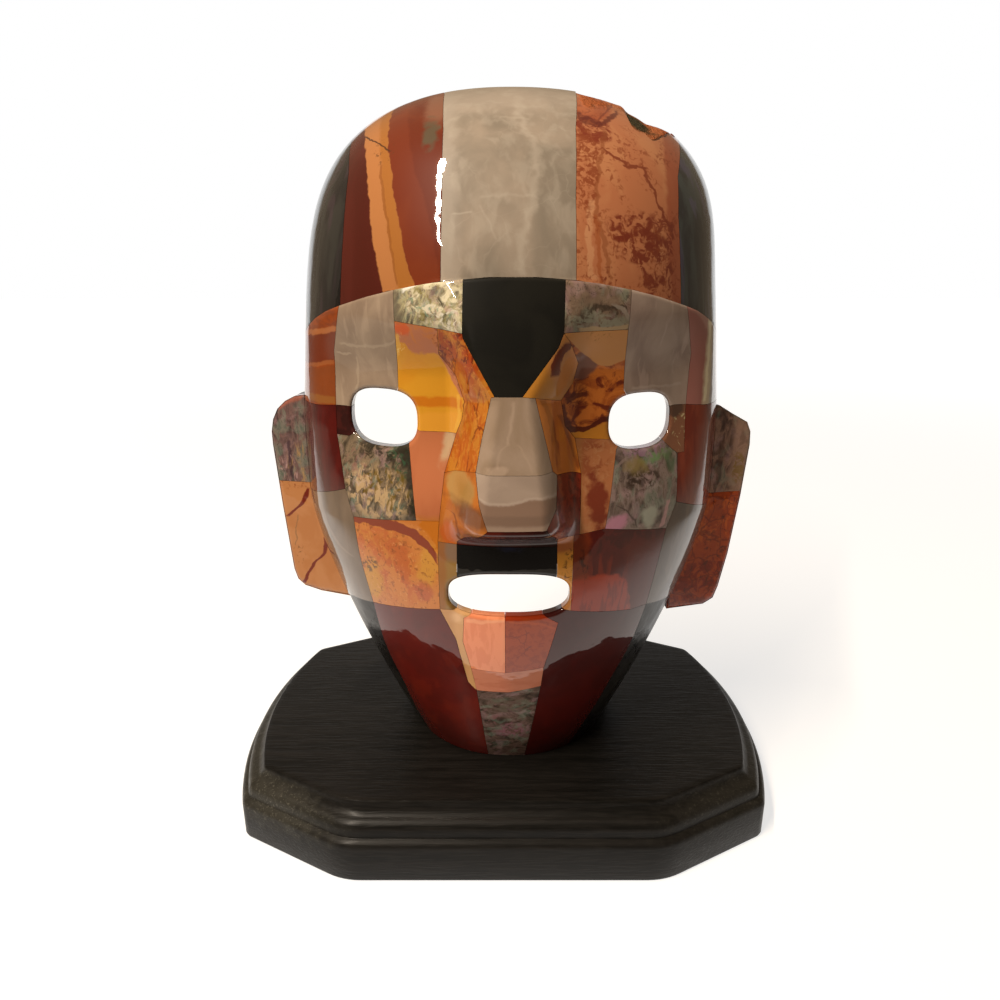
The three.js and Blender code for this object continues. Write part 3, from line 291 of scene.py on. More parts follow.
def girth_share(x, z):
    """Way round the dome at height z, from -1 at its left edge to 1 at its right."""
    share = np.clip(np.abs(x) / np.maximum(half_width(z, x), 1e-6), 0, 1)
    return np.sign(x) * np.arcsin(share ** (SECTION_POWER / 2)) * 2 / math.pi


# Half way round the dome's section, as a share of its half width and depth together
OVAL_GIRTH = 0.81

# Way up the dome on its middle line
PROFILE_Z = np.linspace(0, TOP_Z, 1900)
PROFILE_LENGTH = np.concatenate([[0], np.cumsum(np.hypot(
    np.diff(PROFILE_Z), np.diff(middle_depth(np.maximum(PROFILE_Z, 5)))))])


def unrolled(points):
    """Places on the dome rolled out almost flat, so that a net laid there is even on the dome."""
    x, z = points[:, 0], points[:, 1]
    low = np.minimum(z, WIDEST_Z)
    girth = OVAL_GIRTH * (half_width(low, x) + middle_depth(low))
    return np.column_stack([girth * girth_share(x, z), np.interp(z, PROFILE_Z, PROFILE_LENGTH)])


def front_outline(node):
    """Outline, seen from the front, of a packed plate's face, as (x, z) in the mask's own places."""
    mesh = frame["nodes"][node].data
    points = np.array([v.co for v in mesh.vertices]) / MM - PLACE
    keys = {}
    merged = [keys.setdefault(tuple(np.round(p, 2)), i) for i, p in enumerate(points)]
    edges = set()
    for polygon in mesh.polygons:
        if polygon.normal.y > -0.02:
            continue
        ring = [merged[i] for i in polygon.vertices]
        for a, b in zip(ring, ring[1:] + ring[:1]):
            if (b, a) in edges:
                edges.discard((b, a))
            elif a != b:
                edges.add((a, b))
    after = dict(edges)
    start = next(iter(sorted(after)))
    loop = [start]
    while after[loop[-1]] != start:
        loop.append(after[loop[-1]])
        if len(loop) > len(after):
            raise ValueError(f"outline of {node} doesn't close")
    return drop_straight(points[loop])


def drop_straight(loop):
    """Outline without the points that lie on a straight stretch, seen from the front."""
    kept = list(range(len(loop)))
    changed = True
    while changed:
        changed = False
        for place in range(len(kept)):
            before = loop[kept[place - 1]][[0, 2]]
            here = loop[kept[place]][[0, 2]]
            beyond = loop[kept[(place + 1) % len(kept)]][[0, 2]]
            run = beyond - before
            length = np.hypot(*run)
            if length < 1e-6:
                continue
            off = abs(run[0] * (here - before)[1] - run[1] * (here - before)[0]) / length
            if off < 0.012 or np.hypot(*(here - before)) < 0.05:
                del kept[place]
                changed = True
                break
    return loop[kept]


def rim_point(place, face):
    """Point moved out or in from the dome's middle until its face is at the plates' back edge."""
    middle = np.array([0.0, WIDEST_Z])
    ray = place - middle
    low, high = 0.8, 1.25
    for _ in range(40):
        guess = (low + high) / 2
        at = middle + guess * ray
        if at[1] < TOP_Z and face(*at) < PLATE_EDGE_Y - SEEN_SEAM:
            low = guess
        else:
            high = guess
    return middle + low * ray


def fine_outline(loop, face):
    """Outline as (x, z) with a point every half millimetre, true round the openings and the rim."""
    fine, on_rim = [], []
    for here, beyond in zip(loop, np.roll(loop, -1, axis=0)):
        a, b = here[[0, 2]], beyond[[0, 2]]
        count = max(1, int(np.ceil(np.hypot(*(b - a)) / OUTLINE_STEP)))
        steps = [a + (b - a) * i / count for i in range(count)]
        around = [o for o in OPENINGS if max(abs(opening_distance(*p, o)) for p in (a, b)) < 0.05]
        if around:
            steps = [onto_opening(p, around[0]) for p in steps]
        fine.extend(steps)
        rim = max(abs(p[1] - PLATE_EDGE_Y + SEAM / 2) for p in (here, beyond)) < 0.03
        on_rim.extend([rim] * count)
    outline = grown(np.array(fine), (SEAM - SEEN_SEAM) / 2)
    on_rim = np.array(on_rim)
    on_rim |= np.roll(on_rim, 1)
    for i in np.flatnonzero(on_rim):
        outline[i] = rim_point(outline[i], face)
    return outline


def onto_opening(point, opening):
    """The place on an opening's edge in a point's direction."""
    cx, cz, width, height, power = opening
    dx, dz = point[0] - cx, point[1] - cz
    level = (abs(dx / width) ** power + abs(dz / height) ** power) ** (1 / power)
    return np.array([cx + dx / level, cz + dz / level])


def grown(outline, distance):
    """Outline moved outwards; it runs anticlockwise seen from the front."""
    before = outline - np.roll(outline, 1, axis=0)
    after = np.roll(outline, -1, axis=0) - outline
    before = before / np.maximum(np.linalg.norm(before, axis=1, keepdims=True), 1e-9)
    after = after / np.maximum(np.linalg.norm(after, axis=1, keepdims=True), 1e-9)
    out_before = np.column_stack([before[:, 1], -before[:, 0]])
    out_after = np.column_stack([after[:, 1], -after[:, 0]])
    mitre = out_before + out_after
    turn = 1 + (out_before * out_after).sum(1, keepdims=True)
    return outline + distance * mitre / np.maximum(turn, 0.5)


def inside(points, ring):
    """Which points lie inside a closed ring."""
    x, y = points[:, 0][:, None], points[:, 1][:, None]
    ax, ay = ring[:, 0][None], ring[:, 1][None]
    bx, by = np.roll(ring[:, 0], -1)[None], np.roll(ring[:, 1], -1)[None]
    straddles = (ay > y) != (by > y)
    run = np.where(by == ay, 1e-12, by - ay)
    return (straddles & (x < (bx - ax) * (y - ay) / run + ax)).sum(1) % 2 == 1


def clearance(points, ring):
    """Distance from each point to the ring's nearest segment."""
    a = ring[None]
    run = np.roll(ring, -1, axis=0)[None] - a
    to_point = points[:, None] - a
    share = np.clip((to_point * run).sum(2) / np.maximum((run * run).sum(2), 1e-12), 0, 1)
    return np.linalg.norm(to_point - share[..., None] * run, axis=2).min(1)


def even_grid(ring, step):
    """Points of a triangular grid over a ring's box."""
    low, high = ring.min(0), ring.max(0)
    rows = np.arange(low[1], high[1], step * 0.87)
    columns = np.arange(low[0], high[0], step)
    return np.array([
        (x + (step / 2 if i % 2 else 0), y) for i, y in enumerate(rows) for x in columns])


def net(outline, roll_out, step, rings=()):
    """Triangles over an outline, as (points, triangles); the outline's points come first."""
    flat = roll_out(outline)
    grid = even_grid(outline, step)
    grid = grid[inside(grid, outline)] if len(grid) else grid
    candidates = [grid]
    if len(grid):
        inner = rings[-1] + 0.25 * step if rings else 0
        candidates = [grid[clearance(roll_out(grid), flat) > max(0.62 * step, inner)]]
    for inset in rings:
        ring = grown(outline, -inset)
        ring = ring[inside(ring, outline)]
        if len(ring):
            near = clearance(ring, outline)
            candidates.append(ring[near > 0.93 * inset])
    points = np.vstack([outline, *candidates])
    flat = roll_out(points)
    found, _, faces, origins, _, _ = delaunay_2d_cdt(
        [Vector(p) for p in flat], [], [list(range(len(outline)))], 1, 1e-5)
    source = [origin[0] if origin else nearest(flat, point) for origin, point in zip(origins, found)]
    triangles = [[source[i] for i in face] for face in faces]
    return points, [t for t in triangles if len(set(t)) == 3]


def nearest(flat, point):
    """Which of the points lies nearest."""
    return int(np.argmin(((flat - np.array(point)) ** 2).sum(1)))


def slope_normals(surface, points):
    """Outward normals of y = surface(x, z), which faces -Y."""
    reach = 0.02
    x, z = points[:, 0], points[:, 1]
    dx = (surface(x + reach, z) - surface(x - reach, z)) / (2 * reach)
    dz = (surface(x, z + reach) - surface(x, z - reach)) / (2 * reach)
    normals = np.column_stack([dx, -np.ones(len(x)), dz])
    return normals / np.linalg.norm(normals, axis=1, keepdims=True)


def plate_mesh(name, outline, face, back, roll_out, rings, step=GRID_STEP):
    """Closed plate: polished face, straight seam walls and a plain back, one vertex list."""
    points, front = net(outline, roll_out, step, rings)
    back_points, behind = net(outline, roll_out, BACK_STEP)
    front_at = np.column_stack([points[:, 0], face(points[:, 0], points[:, 1]), points[:, 1]])
    back_at = np.column_stack([
        back_points[:, 0], back(back_points[:, 0], back_points[:, 1]), back_points[:, 1]])
    around, start = len(outline), len(points)
    walls = []
    for i in range(around):
        j = (i + 1) % around
        walls.append([i, i + start, j + start, j])
    backs = [[start + i for i in reversed(t)] for t in behind]
    faces = front + walls + backs
    mesh = mesh_from(name, np.vstack([front_at, back_at]), faces)
    normals = slope_normals(face, points)
    shade_front(mesh, len(front), normals)
    return mesh


def mesh_from(name, points, faces):
    """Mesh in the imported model's places, in metres, from points in the mask's own places."""
    mesh = bpy.data.meshes.new(name)
    mesh.from_pydata(((points + PLACE) * MM).tolist(), [], faces)
    mesh.validate()
    return mesh


def shade_front(mesh, front_count, normals):
    """Gives the face its true normals and leaves the walls and back flat."""
    mesh.polygons.foreach_set("use_smooth", np.ones(len(mesh.polygons), bool))
    split = []
    for polygon in mesh.polygons:
        for vertex in polygon.vertices:
            on_front = polygon.index < front_count
            split.append(tuple(normals[vertex]) if on_front else tuple(polygon.normal))
    mesh.normals_split_custom_set(split)


def add_piece(name, mesh, material, node, slot):
    """A visible piece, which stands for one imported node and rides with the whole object."""
    piece = bpy.data.objects.new(name, mesh)
    bpy.context.scene.collection.objects.link(piece)
    mesh.materials.append(material)
    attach(piece, "root")
    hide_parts(node)
    return piece


def set_plate(node, slot, material):
    """One plate of the mask's front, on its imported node's outline."""
    on_forehead = node.startswith("forehead")

    def face(x, z):
        y = polished_y(x, z, on_forehead)
        return np.maximum(y, chipped_y(x, z)) if node == CHIPPED else y

    outline = fine_outline(front_outline(node), face)

    def back(x, z):
        inner = np.maximum(front_y(x, z, PLATE_BACK), face(x, z) + THINNEST_PLATE)
        before_shell = np.minimum(inner, PLATE_EDGE_Y - SEEN_SEAM / 2)
        return np.maximum(before_shell, face(x, z) + THINNEST_AT_RIM)

    x, z = outline.T
    at_opening = min(np.abs(opening_distance(x, z, opening)).min() for opening in OPENINGS) < 0.5
    at_brow = not on_forehead and (brow_height(x) - z).min() < 1
    rings = EDGE_RINGS if at_opening or at_brow else SEAM_RINGS
    step = CHIPPED_STEP if node == CHIPPED else GRID_STEP
    mesh = plate_mesh(node + "_plate", outline, face, back, unrolled, rings, step)
    return add_piece(node + "_plate", mesh, material, node, slot)


def ear_y(x, depth=0.0):
    """y of an ear's face, which sweeps back outwards, or of a layer behind it."""
    return EAR_FRONT_Y + depth + EAR_SWEEP * (np.abs(x) - EAR_SWEEP_FROM)


def rounded_corners(outline, times=2):
    """Outline with its corners cut, over and over, towards a curve."""
    for _ in range(times):
        beyond = np.roll(outline, -1, axis=0)
        outline = np.column_stack([
            (1 - EAR_CORNER_CUT) * outline + EAR_CORNER_CUT * beyond,
            EAR_CORNER_CUT * outline + (1 - EAR_CORNER_CUT) * beyond]).reshape(-1, 2)
    return outline


def set_ear_plate(node, slot, material):
    """One flat plate on an ear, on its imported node's outline."""
    loop = front_outline(node)[:, [0, 2]]
    side = 1 if loop[:, 0].mean() > 0 else -1
    whole = np.array(EARS["left" if side < 0 else "right"][1], float) * [side, 1]
    outline = grown(even_steps(loop), (SEAM - SEEN_SEAM) / 2)

    def face(x, z):
        points = np.column_stack([x, z])
        return ear_y(x) + rounding(clearance(points, whole), EAR_ROUND)

    back = lambda x, z: ear_y(x, EAR_PLATE_THICKNESS)
    mesh = plate_mesh(node + "_plate", outline, face, back, lambda p: p, EAR_EDGE_RINGS)
    return add_piece(node + "_plate", mesh, material, node, slot)


def even_steps(loop):
    """Closed loop with a point about every half millimetre."""
    fine = []
    for a, b in zip(loop, np.roll(loop, -1, axis=0)):
        count = max(1, int(np.ceil(np.hypot(*(b - a)) / OUTLINE_STEP)))
        fine.extend(a + (b - a) * i / count for i in range(count))
    return np.array(fine)


def dome_mesh(name, inset, bottom, back_y=BACK_Y, nose_share=1.0, step=DOME_STEP):
    """Closed solid from the domed front back to a flat plane, on an even net of rows."""
    scale = level_scale(inset)
    count = int(150 / step)
    lower = np.linspace(bottom, WIDEST_Z, int((WIDEST_Z - bottom) / step))
    angle = np.linspace(0, math.pi / 2, int(95 / step))[1:]
    upper = WIDEST_Z + (TOP_Z - WIDEST_Z) * np.sin(angle) ** 0.8
    heights = np.concatenate([lower, upper[:-1]])
    turn = np.linspace(-1, 1, count + 1)
    share = np.sign(turn) * np.abs(np.sin(math.pi * turn / 2)) ** (2 / SECTION_POWER)
    rows = []
    for height in heights:
        z = height if height <= WIDEST_Z else WIDEST_Z + scale * (height - WIDEST_Z)
        x = scale * half_width(np.full_like(share, height), share) * share
        y = front_y(x, np.full_like(x, z), inset, nose_share)
        y[[0, -1]] = BACK_Y
        ends = [[x[0], back_y, z]] if back_y > BACK_Y else []
        tail = [[x[-1], back_y, z]] if back_y > BACK_Y else []
        rows.append(ends + np.column_stack([x, y, np.full_like(x, z)]).tolist() + tail)
    across = len(rows[0])
    top_z = WIDEST_Z + scale * (TOP_Z - WIDEST_Z)
    points = [p for row in rows for p in row] + [[0, BACK_Y, top_z]]
    if back_y > BACK_Y:
        points.append([0, back_y, top_z])
    top = len(rows) * across
    back_top = len(points) - 1
    faces = []
    for r in range(len(rows) - 1):
        a = r * across
        faces += [[a + i, a + i + 1, a + i + 1 + across, a + i + across] for i in range(across - 1)]
        faces.append([a + across - 1, a, a + across, a + 2 * across - 1])
    a = (len(rows) - 1) * across
    first = 1 if back_y > BACK_Y else 0
    faces += [[a + i, a + i + 1, top] for i in range(first, across - 1 - first)]
    faces.append([a + across - 1, a, back_top])
    if first:
        faces.append([a, a + 1, top, back_top])
        faces.append([a + across - 2, a + across - 1, back_top, top])
    faces.append(list(range(across - 1, -1, -1)))
    return mesh_from(name, np.array(points), faces)


def prism_mesh(name, outline, front_y_at, back_y_at):
    """Closed prism of an outline in x and z between two depths, which may be functions of x."""
    outline = np.asarray(outline, float)
    x, z = outline[:, 0], outline[:, 1]
    count = len(outline)
    front = np.column_stack([x, front_y_at(x), z])
    behind = np.column_stack([x, back_y_at(x), z])
    faces = [list(range(count)), list(range(2 * count - 1, count - 1, -1))]
    faces += [[(i + 1) % count, i, i + count, (i + 1) % count + count] for i in range(count)]
    mesh = mesh_from(name, np.vstack([front, behind]), faces)
    return mesh


def joined_by(body, other, operation):
    """The mesh of a body after one join or cut with another closed mesh."""
    holder = bpy.data.objects.new("holder", body)
    tool = bpy.data.objects.new("tool", other)
    for item in (holder, tool):
        bpy.context.scene.collection.objects.link(item)
    modifier = holder.modifiers.new("cut", "BOOLEAN")
    modifier.operation = operation
    modifier.solver = "MANIFOLD"
    modifier.object = tool
    bpy.context.view_layer.update()
    depsgraph = bpy.context.evaluated_depsgraph_get()
    result = bpy.data.meshes.new_from_object(holder.evaluated_get(depsgraph), depsgraph=depsgraph)
    bpy.data.objects.remove(holder)
    bpy.data.objects.remove(tool)
    return result


def opening_outline(opening, grow, steps=72):
    """Rounded oval of an opening, moved outwards, as (x, z)."""
    cx, cz, width, height, power = opening
    angle = np.linspace(0, 2 * math.pi, steps, endpoint=False)
    cos, sin = np.cos(angle), np.sin(angle)
    x = cx + (width + grow) * np.sign(cos) * np.abs(cos) ** (2 / power)
    z = cz + (height + grow) * np.sign(sin) * np.abs(sin) ** (2 / power)
    return np.column_stack([x, z])


def level_plane(y):
    """A flat front or back for prism_mesh."""
    return lambda x: np.full_like(x, y)


def smooth_line(points):
    """Smooth line through points, in even steps, without its first point."""
    points = np.array(points, float)
    held = np.vstack([points[:1], points, points[-1:]])
    line = []
    for place in np.linspace(0, len(points) - 1, JAW_SIDE_STEPS + 1)[1:]:
        first = min(int(place), len(points) - 2)
        t = place - first
        a, b, c, d = held[first:first + 4]
        away, into = (c - a) / 2, (d - b) / 2
        cubic = 2 * b - 2 * c + away + into
        square = 3 * c - 3 * b - 2 * away - into
        line.append(((cubic * t + square) * t + away) * t + b)
    return [tuple(point) for point in line]


def mosaic_outline(grow):
    """Edge of all that the plates cover: the jaw's sides and edges below, past the mask elsewhere."""
    above = [(-FAR_SIDE_X, FAR_ABOVE_Z), (FAR_SIDE_X, FAR_ABOVE_Z)]
    outline = (smooth_line(JAW_SIDE_LEFT)[::-1] + JAW_EDGE_LEFT[::-1] + above
               + JAW_EDGE_RIGHT[::-1] + smooth_line(JAW_SIDE_RIGHT))
    return grown(np.array(outline, float)[::-1], grow)


def chip_mesh():
    """What the chip takes off the shell: a prism bent down along its line."""
    line = np.array(CHIP_LINE + [(CHIP_LINE[-1][0], FAR_ABOVE_Z), (CHIP_LINE[0][0], FAR_ABOVE_Z)])
    rings = []
    for behind, slope in ((-CHIP_REACH, CHIP_IN_FRONT), (0, 0), (CHIP_REACH, CHIP_BEHIND)):
        y = np.full(len(line), CHIP_TURN_Y + behind)
        rings.append(np.column_stack([line[:, 0], y, line[:, 1] + slope * behind]))
    count = len(line)
    faces = [list(range(count)), list(range(3 * count - 1, 2 * count - 1, -1))]
    for start in (0, count):
        for i in range(count):
            a, b = start + i, start + (i + 1) % count
            faces.append([b, a, a + count, b + count])
    return mesh_from("chip", np.vstack(rings), faces)


def set_backing(material):
    """Black shell behind the plates, with the ears' backs and the black sides of the jaw."""
    body = dome_mesh("shell", SHELL_BEHIND, BOTTOM_Z)
    for side, outline in EARS.values():
        outline = rounded_corners(np.array(outline, float) * [side, 1])[::side]
        ear = prism_mesh(
            "ear", outline, lambda x: ear_y(x, EAR_PLATE_THICKNESS + 0.1),
            lambda x: ear_y(x, EAR_THICKNESS))
        body = joined_by(body, ear, "UNION")
    hollow = dome_mesh("hollow", SHELL_INSIDE, CAVITY_FLOOR_Z, BACK_Y + OVERRUN, HOLLOW_NOSE_SHARE)
    body = joined_by(body, hollow, "DIFFERENCE")
    pocket = dome_mesh("pocket", -SEAM, 5.0)
    floor = dome_mesh("floor", PLATE_BACK + 0.1, 4.0, BACK_Y + OVERRUN)
    pocket = joined_by(pocket, floor, "DIFFERENCE")
    extent = prism_mesh(
        "extent", mosaic_outline(0.05), level_plane(FAR_FRONT_Y), level_plane(PLATE_EDGE_Y))
    pocket = joined_by(pocket, extent, "INTERSECT")
    body = joined_by(body, pocket, "DIFFERENCE")
    for opening in OPENINGS:
        hole = prism_mesh(
            "hole", opening_outline(opening, OPENING_FLARE), level_plane(FAR_FRONT_Y),
            level_plane(BACK_Y - OVERRUN))
        body = joined_by(body, hole, "DIFFERENCE")
    body = joined_by(body, chip_mesh(), "DIFFERENCE")
    body.materials.clear()
    body.polygons.foreach_set("material_index", np.zeros(len(body.polygons), int))
    body.name = "mask_shell"
    body.polygons.foreach_set("use_smooth", np.ones(len(body.polygons), bool))
    body.set_sharp_from_angle(angle=math.radians(SHELL_SHARP_ANGLE))
    return add_piece("mask_shell", body, material, "mask_backing", "black_resin")


# Base: outline sizes, and its moulded edge as (distance in, height)
BASE_END_BOW = 6.9
BASE_CORNER_ALONG = 29.1
BASE_CORNER_ACROSS = 15.2
BASE_CORNER_SOFT = 4.6
BASE_END_SOFT = 1.4
BASE_SHARP_ANGLE = 24
BASE_EDGE = [
    (0.9, 0), (0.25, 0.25), (0, 0.9), (0, 9.6), (0.15, 10.3), (0.5, 10.9), (1.0, 11.3), (1.6, 11.5),
    (1.8, 11.6), (1.85, 12.6), (1.95, 13.3), (2.2, 14.1), (2.6, 14.8), (3.2, 15.3), (3.9, 15.6),
    (4.5, 15.75), (4.9, 16.0), (5.35, 16.4), (5.7, 16.9), (6.0, 17.5), (6.2, 18.1), (6.35, 18.6),
    (6.6, 18.9), (7.1, 19.0), (8.1, 19.0),
]


def base_outline(inset):
    """Base's outline moved in: straight front and back, cut corners and bowed ends."""
    half_length = (base_high.x - base_low.x) / 2
    half_depth = (base_high.y - base_low.y) / 2
    end_y = half_depth - BASE_CORNER_ACROSS
    front_x = half_length - BASE_END_BOW - BASE_CORNER_ALONG
    radius = (end_y ** 2 + BASE_END_BOW ** 2) / (2 * BASE_END_BOW)
    centre_x = half_length - radius
    facing = math.atan2(BASE_CORNER_ALONG, BASE_CORNER_ACROSS)
    cos, sin = math.cos(facing), math.sin(facing)
    reach = front_x * cos + half_depth * sin - inset
    edge_y = half_depth - inset
    edge_x = (reach - edge_y * sin) / cos
    sweep = facing - math.acos((reach - centre_x * cos) / (radius - inset))
    angles = np.linspace(-sweep, sweep, 41)
    bow = (radius - inset) * np.column_stack([np.cos(angles), np.sin(angles)])
    right = bow + [centre_x, 0]
    front = eased((-edge_x, -edge_y), (edge_x, -edge_y), right[0], BASE_CORNER_SOFT)
    start = eased(front[-1], right[0], right[1], BASE_END_SOFT)
    half = np.vstack([front, start, right[1:-1], start[::-1] * [1, -1], front[::-1] * [1, -1]])
    return np.vstack([half, -half])


def eased(before, corner, after, reach):
    """Soft corner: a short curve that begins and ends `reach` from the corner."""
    before, corner, after = (np.array(p, float) for p in (before, corner, after))
    into = corner + (before - corner) * reach / np.linalg.norm(before - corner)
    away = corner + (after - corner) * reach / np.linalg.norm(after - corner)
    share = np.linspace(0, 1, 7)[:, None]
    return (1 - share) ** 2 * into + 2 * share * (1 - share) * corner + share ** 2 * away


def set_base(material):
    """Moulded base: one ring of points for each step of its edge, closed above and below."""
    middle_y = (base_low.y + base_high.y) / 2
    rings = []
    for inset, height in BASE_EDGE:
        ring = base_outline(inset)
        rings.append(np.column_stack([ring[:, 0], ring[:, 1] + middle_y, np.full(len(ring), height)]))
    around = len(rings[0])
    faces = []
    for ring in range(len(rings) - 1):
        for i in range(around):
            a, b = ring * around + i, ring * around + (i + 1) % around
            faces.append([a, b, b + around, a + around])
    lid, under = (len(rings) - 1) * around, len(rings) * around
    for i in range(around):
        beyond = (i + 1) % around
        faces += [[lid + i, lid + beyond, under + 1], [beyond, i, under]]
    middles = [(0, middle_y, 0), (0, middle_y, BASE_EDGE[-1][1])]
    mesh = mesh_from("plinth", np.vstack(rings + [middles]) - PLACE, faces)
    mesh.polygons.foreach_set("use_smooth", np.ones(len(mesh.polygons), bool))
    mesh.set_sharp_from_angle(angle=math.radians(BASE_SHARP_ANGLE))
    return add_piece("plinth", mesh, material, "base", "black_wood")


def linear(hex_colour):
    """Linear colour with alpha from an sRGB hex value."""
    channels = [int(hex_colour[i:i + 2], 16) / 255 for i in (1, 3, 5)]
    return [c / 12.92 if c <= 0.04045 else ((c + 0.055) / 1.055) ** 2.4 for c in channels] + [1]


def wire(tree, node, inputs):
    """Gives a node its inputs, which are plain values or other nodes' sockets."""
    for socket, value in inputs.items():
        if isinstance(value, bpy.types.NodeSocket):
            tree.links.new(value, node.inputs[socket])
        else:
            node.inputs[socket].default_value = value


def add(tree, kind, inputs, give=0, **settings):
    """One node with its settings and links. Gives one of its outputs."""
    node = tree.nodes.new("ShaderNode" + kind)
    for name, value in settings.items():
        setattr(node, name, value)
    wire(tree, node, inputs)
    return node.outputs[give]


def new_finish(name):
    """An empty finish, as (material, its nodes, its shader)."""
    material = bpy.data.materials.new(name)
    material.use_nodes = True
    return material, material.node_tree, material.node_tree.nodes["Principled BSDF"]


# Edges of natural patches wander in bends of about 2.6 mm
WANDER_SIZE = 2.6


def in_face_places(tree):
    """The point of the stone being looked at, in the mask's own places in millimetres."""
    where = add(tree, "TexCoord", {}, "Object")
    to_places = {0: where, 1: (1 / MM,) * 3, 2: tuple(-PLACE)}
    at = add(tree, "VectorMath", to_places, operation="MULTIPLY_ADD")
    split = add(tree, "SeparateXYZ", {0: at}).node
    wander = add(tree, "TexNoise", {"Vector": at, "Scale": 1 / WANDER_SIZE, "Detail": 4.0})
    wander = add(tree, "MapRange", {0: wander, 1: 0.25, 2: 0.75, 3: -1.0, 4: 1.0})
    x, y, z = split.outputs
    return {"at": at, "x": x, "y": y, "z": z, "wander": wander}


def worn_off(tree, place, offset, wobble):
    """An offset in millimetres that wanders as the edge of a natural patch does."""
    return add(tree, "Math", {0: place["wander"], 1: wobble, 2: offset}, operation="MULTIPLY_ADD")


def line_offset(tree, place, points, wobble):
    """Distance of the point to the right of a steep line, or above a flat one, and the way along it."""
    spans = np.ptp(np.array(points, float), axis=0)
    steep = spans[1] >= spans[0]
    along, across = (place["z"], place["x"]) if steep else (place["x"], place["z"])
    pairs = sorted((z, x) if steep else (x, z) for x, z in points)
    first, last = pairs[0][0], pairs[-1][0]
    low = min(p[1] for p in pairs)
    high = max(max(p[1] for p in pairs), low + 0.1)
    way = add(tree, "MapRange", {0: along, 1: first, 2: last})
    line = add(tree, "FloatCurve", {"Value": way})
    curve = line.node.mapping.curves[0]
    for _ in range(len(pairs) - 2):
        curve.points.new(0.5, 0.5)
    for point, (place_along, value) in zip(curve.points, pairs):
        point.location = ((place_along - first) / (last - first), (value - low) / (high - low))
    line.node.mapping.update()
    at_line = add(tree, "MapRange", {0: line, 3: low, 4: high})
    offset = add(tree, "Math", {0: across, 1: at_line}, operation="SUBTRACT")
    return worn_off(tree, place, offset, wobble), along, first, last


def half_plane(points, soft, wobble):
    """One side of a line: to the right of it or above, and the other where `soft` is negative."""
    def mask(tree, place):
        offset = line_offset(tree, place, points, wobble)[0]
        return add(tree, "MapRange", {0: offset, 1: -soft, 2: soft}, interpolation_type="SMOOTHSTEP")
    return mask


def past(points, soft=0.25, wobble=0.35):
    """Everything to the right of a steep line, or above a flat one."""
    return half_plane(points, soft, wobble)


def before(points, soft=0.25, wobble=0.35):
    """Everything to the left of a steep line, or below a flat one."""
    return half_plane(points, -soft, wobble)


def vein(points, half_width, soft=0.15, wobble=0.4):
    """A vein along a line, fading at its two ends."""
    fade = 0.3

    def mask(tree, place):
        offset, along, first, last = line_offset(tree, place, points, wobble)
        away = add(tree, "Math", {0: offset}, operation="ABSOLUTE")
        near = {0: away, 1: half_width + soft / 2, 2: max(half_width - soft / 2, 0)}
        line = add(tree, "MapRange", near, interpolation_type="SMOOTHSTEP")
        start = add(tree, "MapRange", {0: along, 1: first - fade, 2: first + fade})
        end = add(tree, "MapRange", {0: along, 1: last + fade, 2: last - fade})
        held = add(tree, "Math", {0: start, 1: end}, operation="MULTIPLY")
        return add(tree, "Math", {0: line, 1: held}, operation="MULTIPLY")
    return mask


def spot(centre, radii, turn=0.0, soft=0.5, wobble=0.6):
    """An oval patch, seen from the front; `turn` leans its top to the right, in radians."""
    endless = 1e5

    def mask(tree, place):
        oval = add(tree, "Mapping", {
            "Vector": place["at"], "Location": (centre[0], 0, centre[1]), "Rotation": (0, turn, 0),
            "Scale": (radii[0], endless, radii[1])}, vector_type="TEXTURE")
        out = add(tree, "VectorMath", {0: oval}, "Value", operation="LENGTH")
        offset = add(tree, "Math", {0: out, 1: min(radii), 2: -min(radii)}, operation="MULTIPLY_ADD")
        offset = worn_off(tree, place, offset, wobble)
        return add(tree, "MapRange", {0: offset, 1: soft, 2: -soft}, interpolation_type="SMOOTHSTEP")
    return mask


# Each seed looks at another stretch of the same noise, this far on in units of the pattern
SEED_STEP = (31.7, 17.3, 53.9)


def stretched(tree, place, size, stretch, turn, seed):
    """The point in units of a pattern `size` millimetres across, drawn out by `stretch`."""
    return add(tree, "Mapping", {
        "Vector": place["at"], "Location": tuple(seed * step for step in SEED_STEP),
        "Rotation": (0, turn, 0), "Scale": tuple(size * s for s in stretch)}, vector_type="TEXTURE")


def clouds(size, level, soft=0.08, stretch=(1, 1, 1), turn=0.0, seed=1):
    """Soft cloudy patches, `size` millimetres across, where the noise rises past a level."""
    def mask(tree, place):
        at = stretched(tree, place, size, stretch, turn, seed)
        noise = add(tree, "TexNoise", {"Vector": at, "Scale": 1.0, "Detail": 3.0, "Distortion": 0.4})
        edge = {0: noise, 1: level - soft, 2: level + soft}
        return add(tree, "MapRange", edge, interpolation_type="SMOOTHSTEP")
    return mask


def flecks(size, level, stretch=(1, 1, 1), seed=1):
    """Crisp ragged flecks, `size` millimetres across."""
    def mask(tree, place):
        at = stretched(tree, place, size, stretch, 0.0, seed)
        noise = add(tree, "TexNoise", {
            "Vector": at, "Scale": 1.0, "Detail": 5.0, "Roughness": 0.6, "Distortion": 0.8})
        return add(tree, "MapRange", {0: noise, 1: level - 0.04, 2: level + 0.05})
    return mask


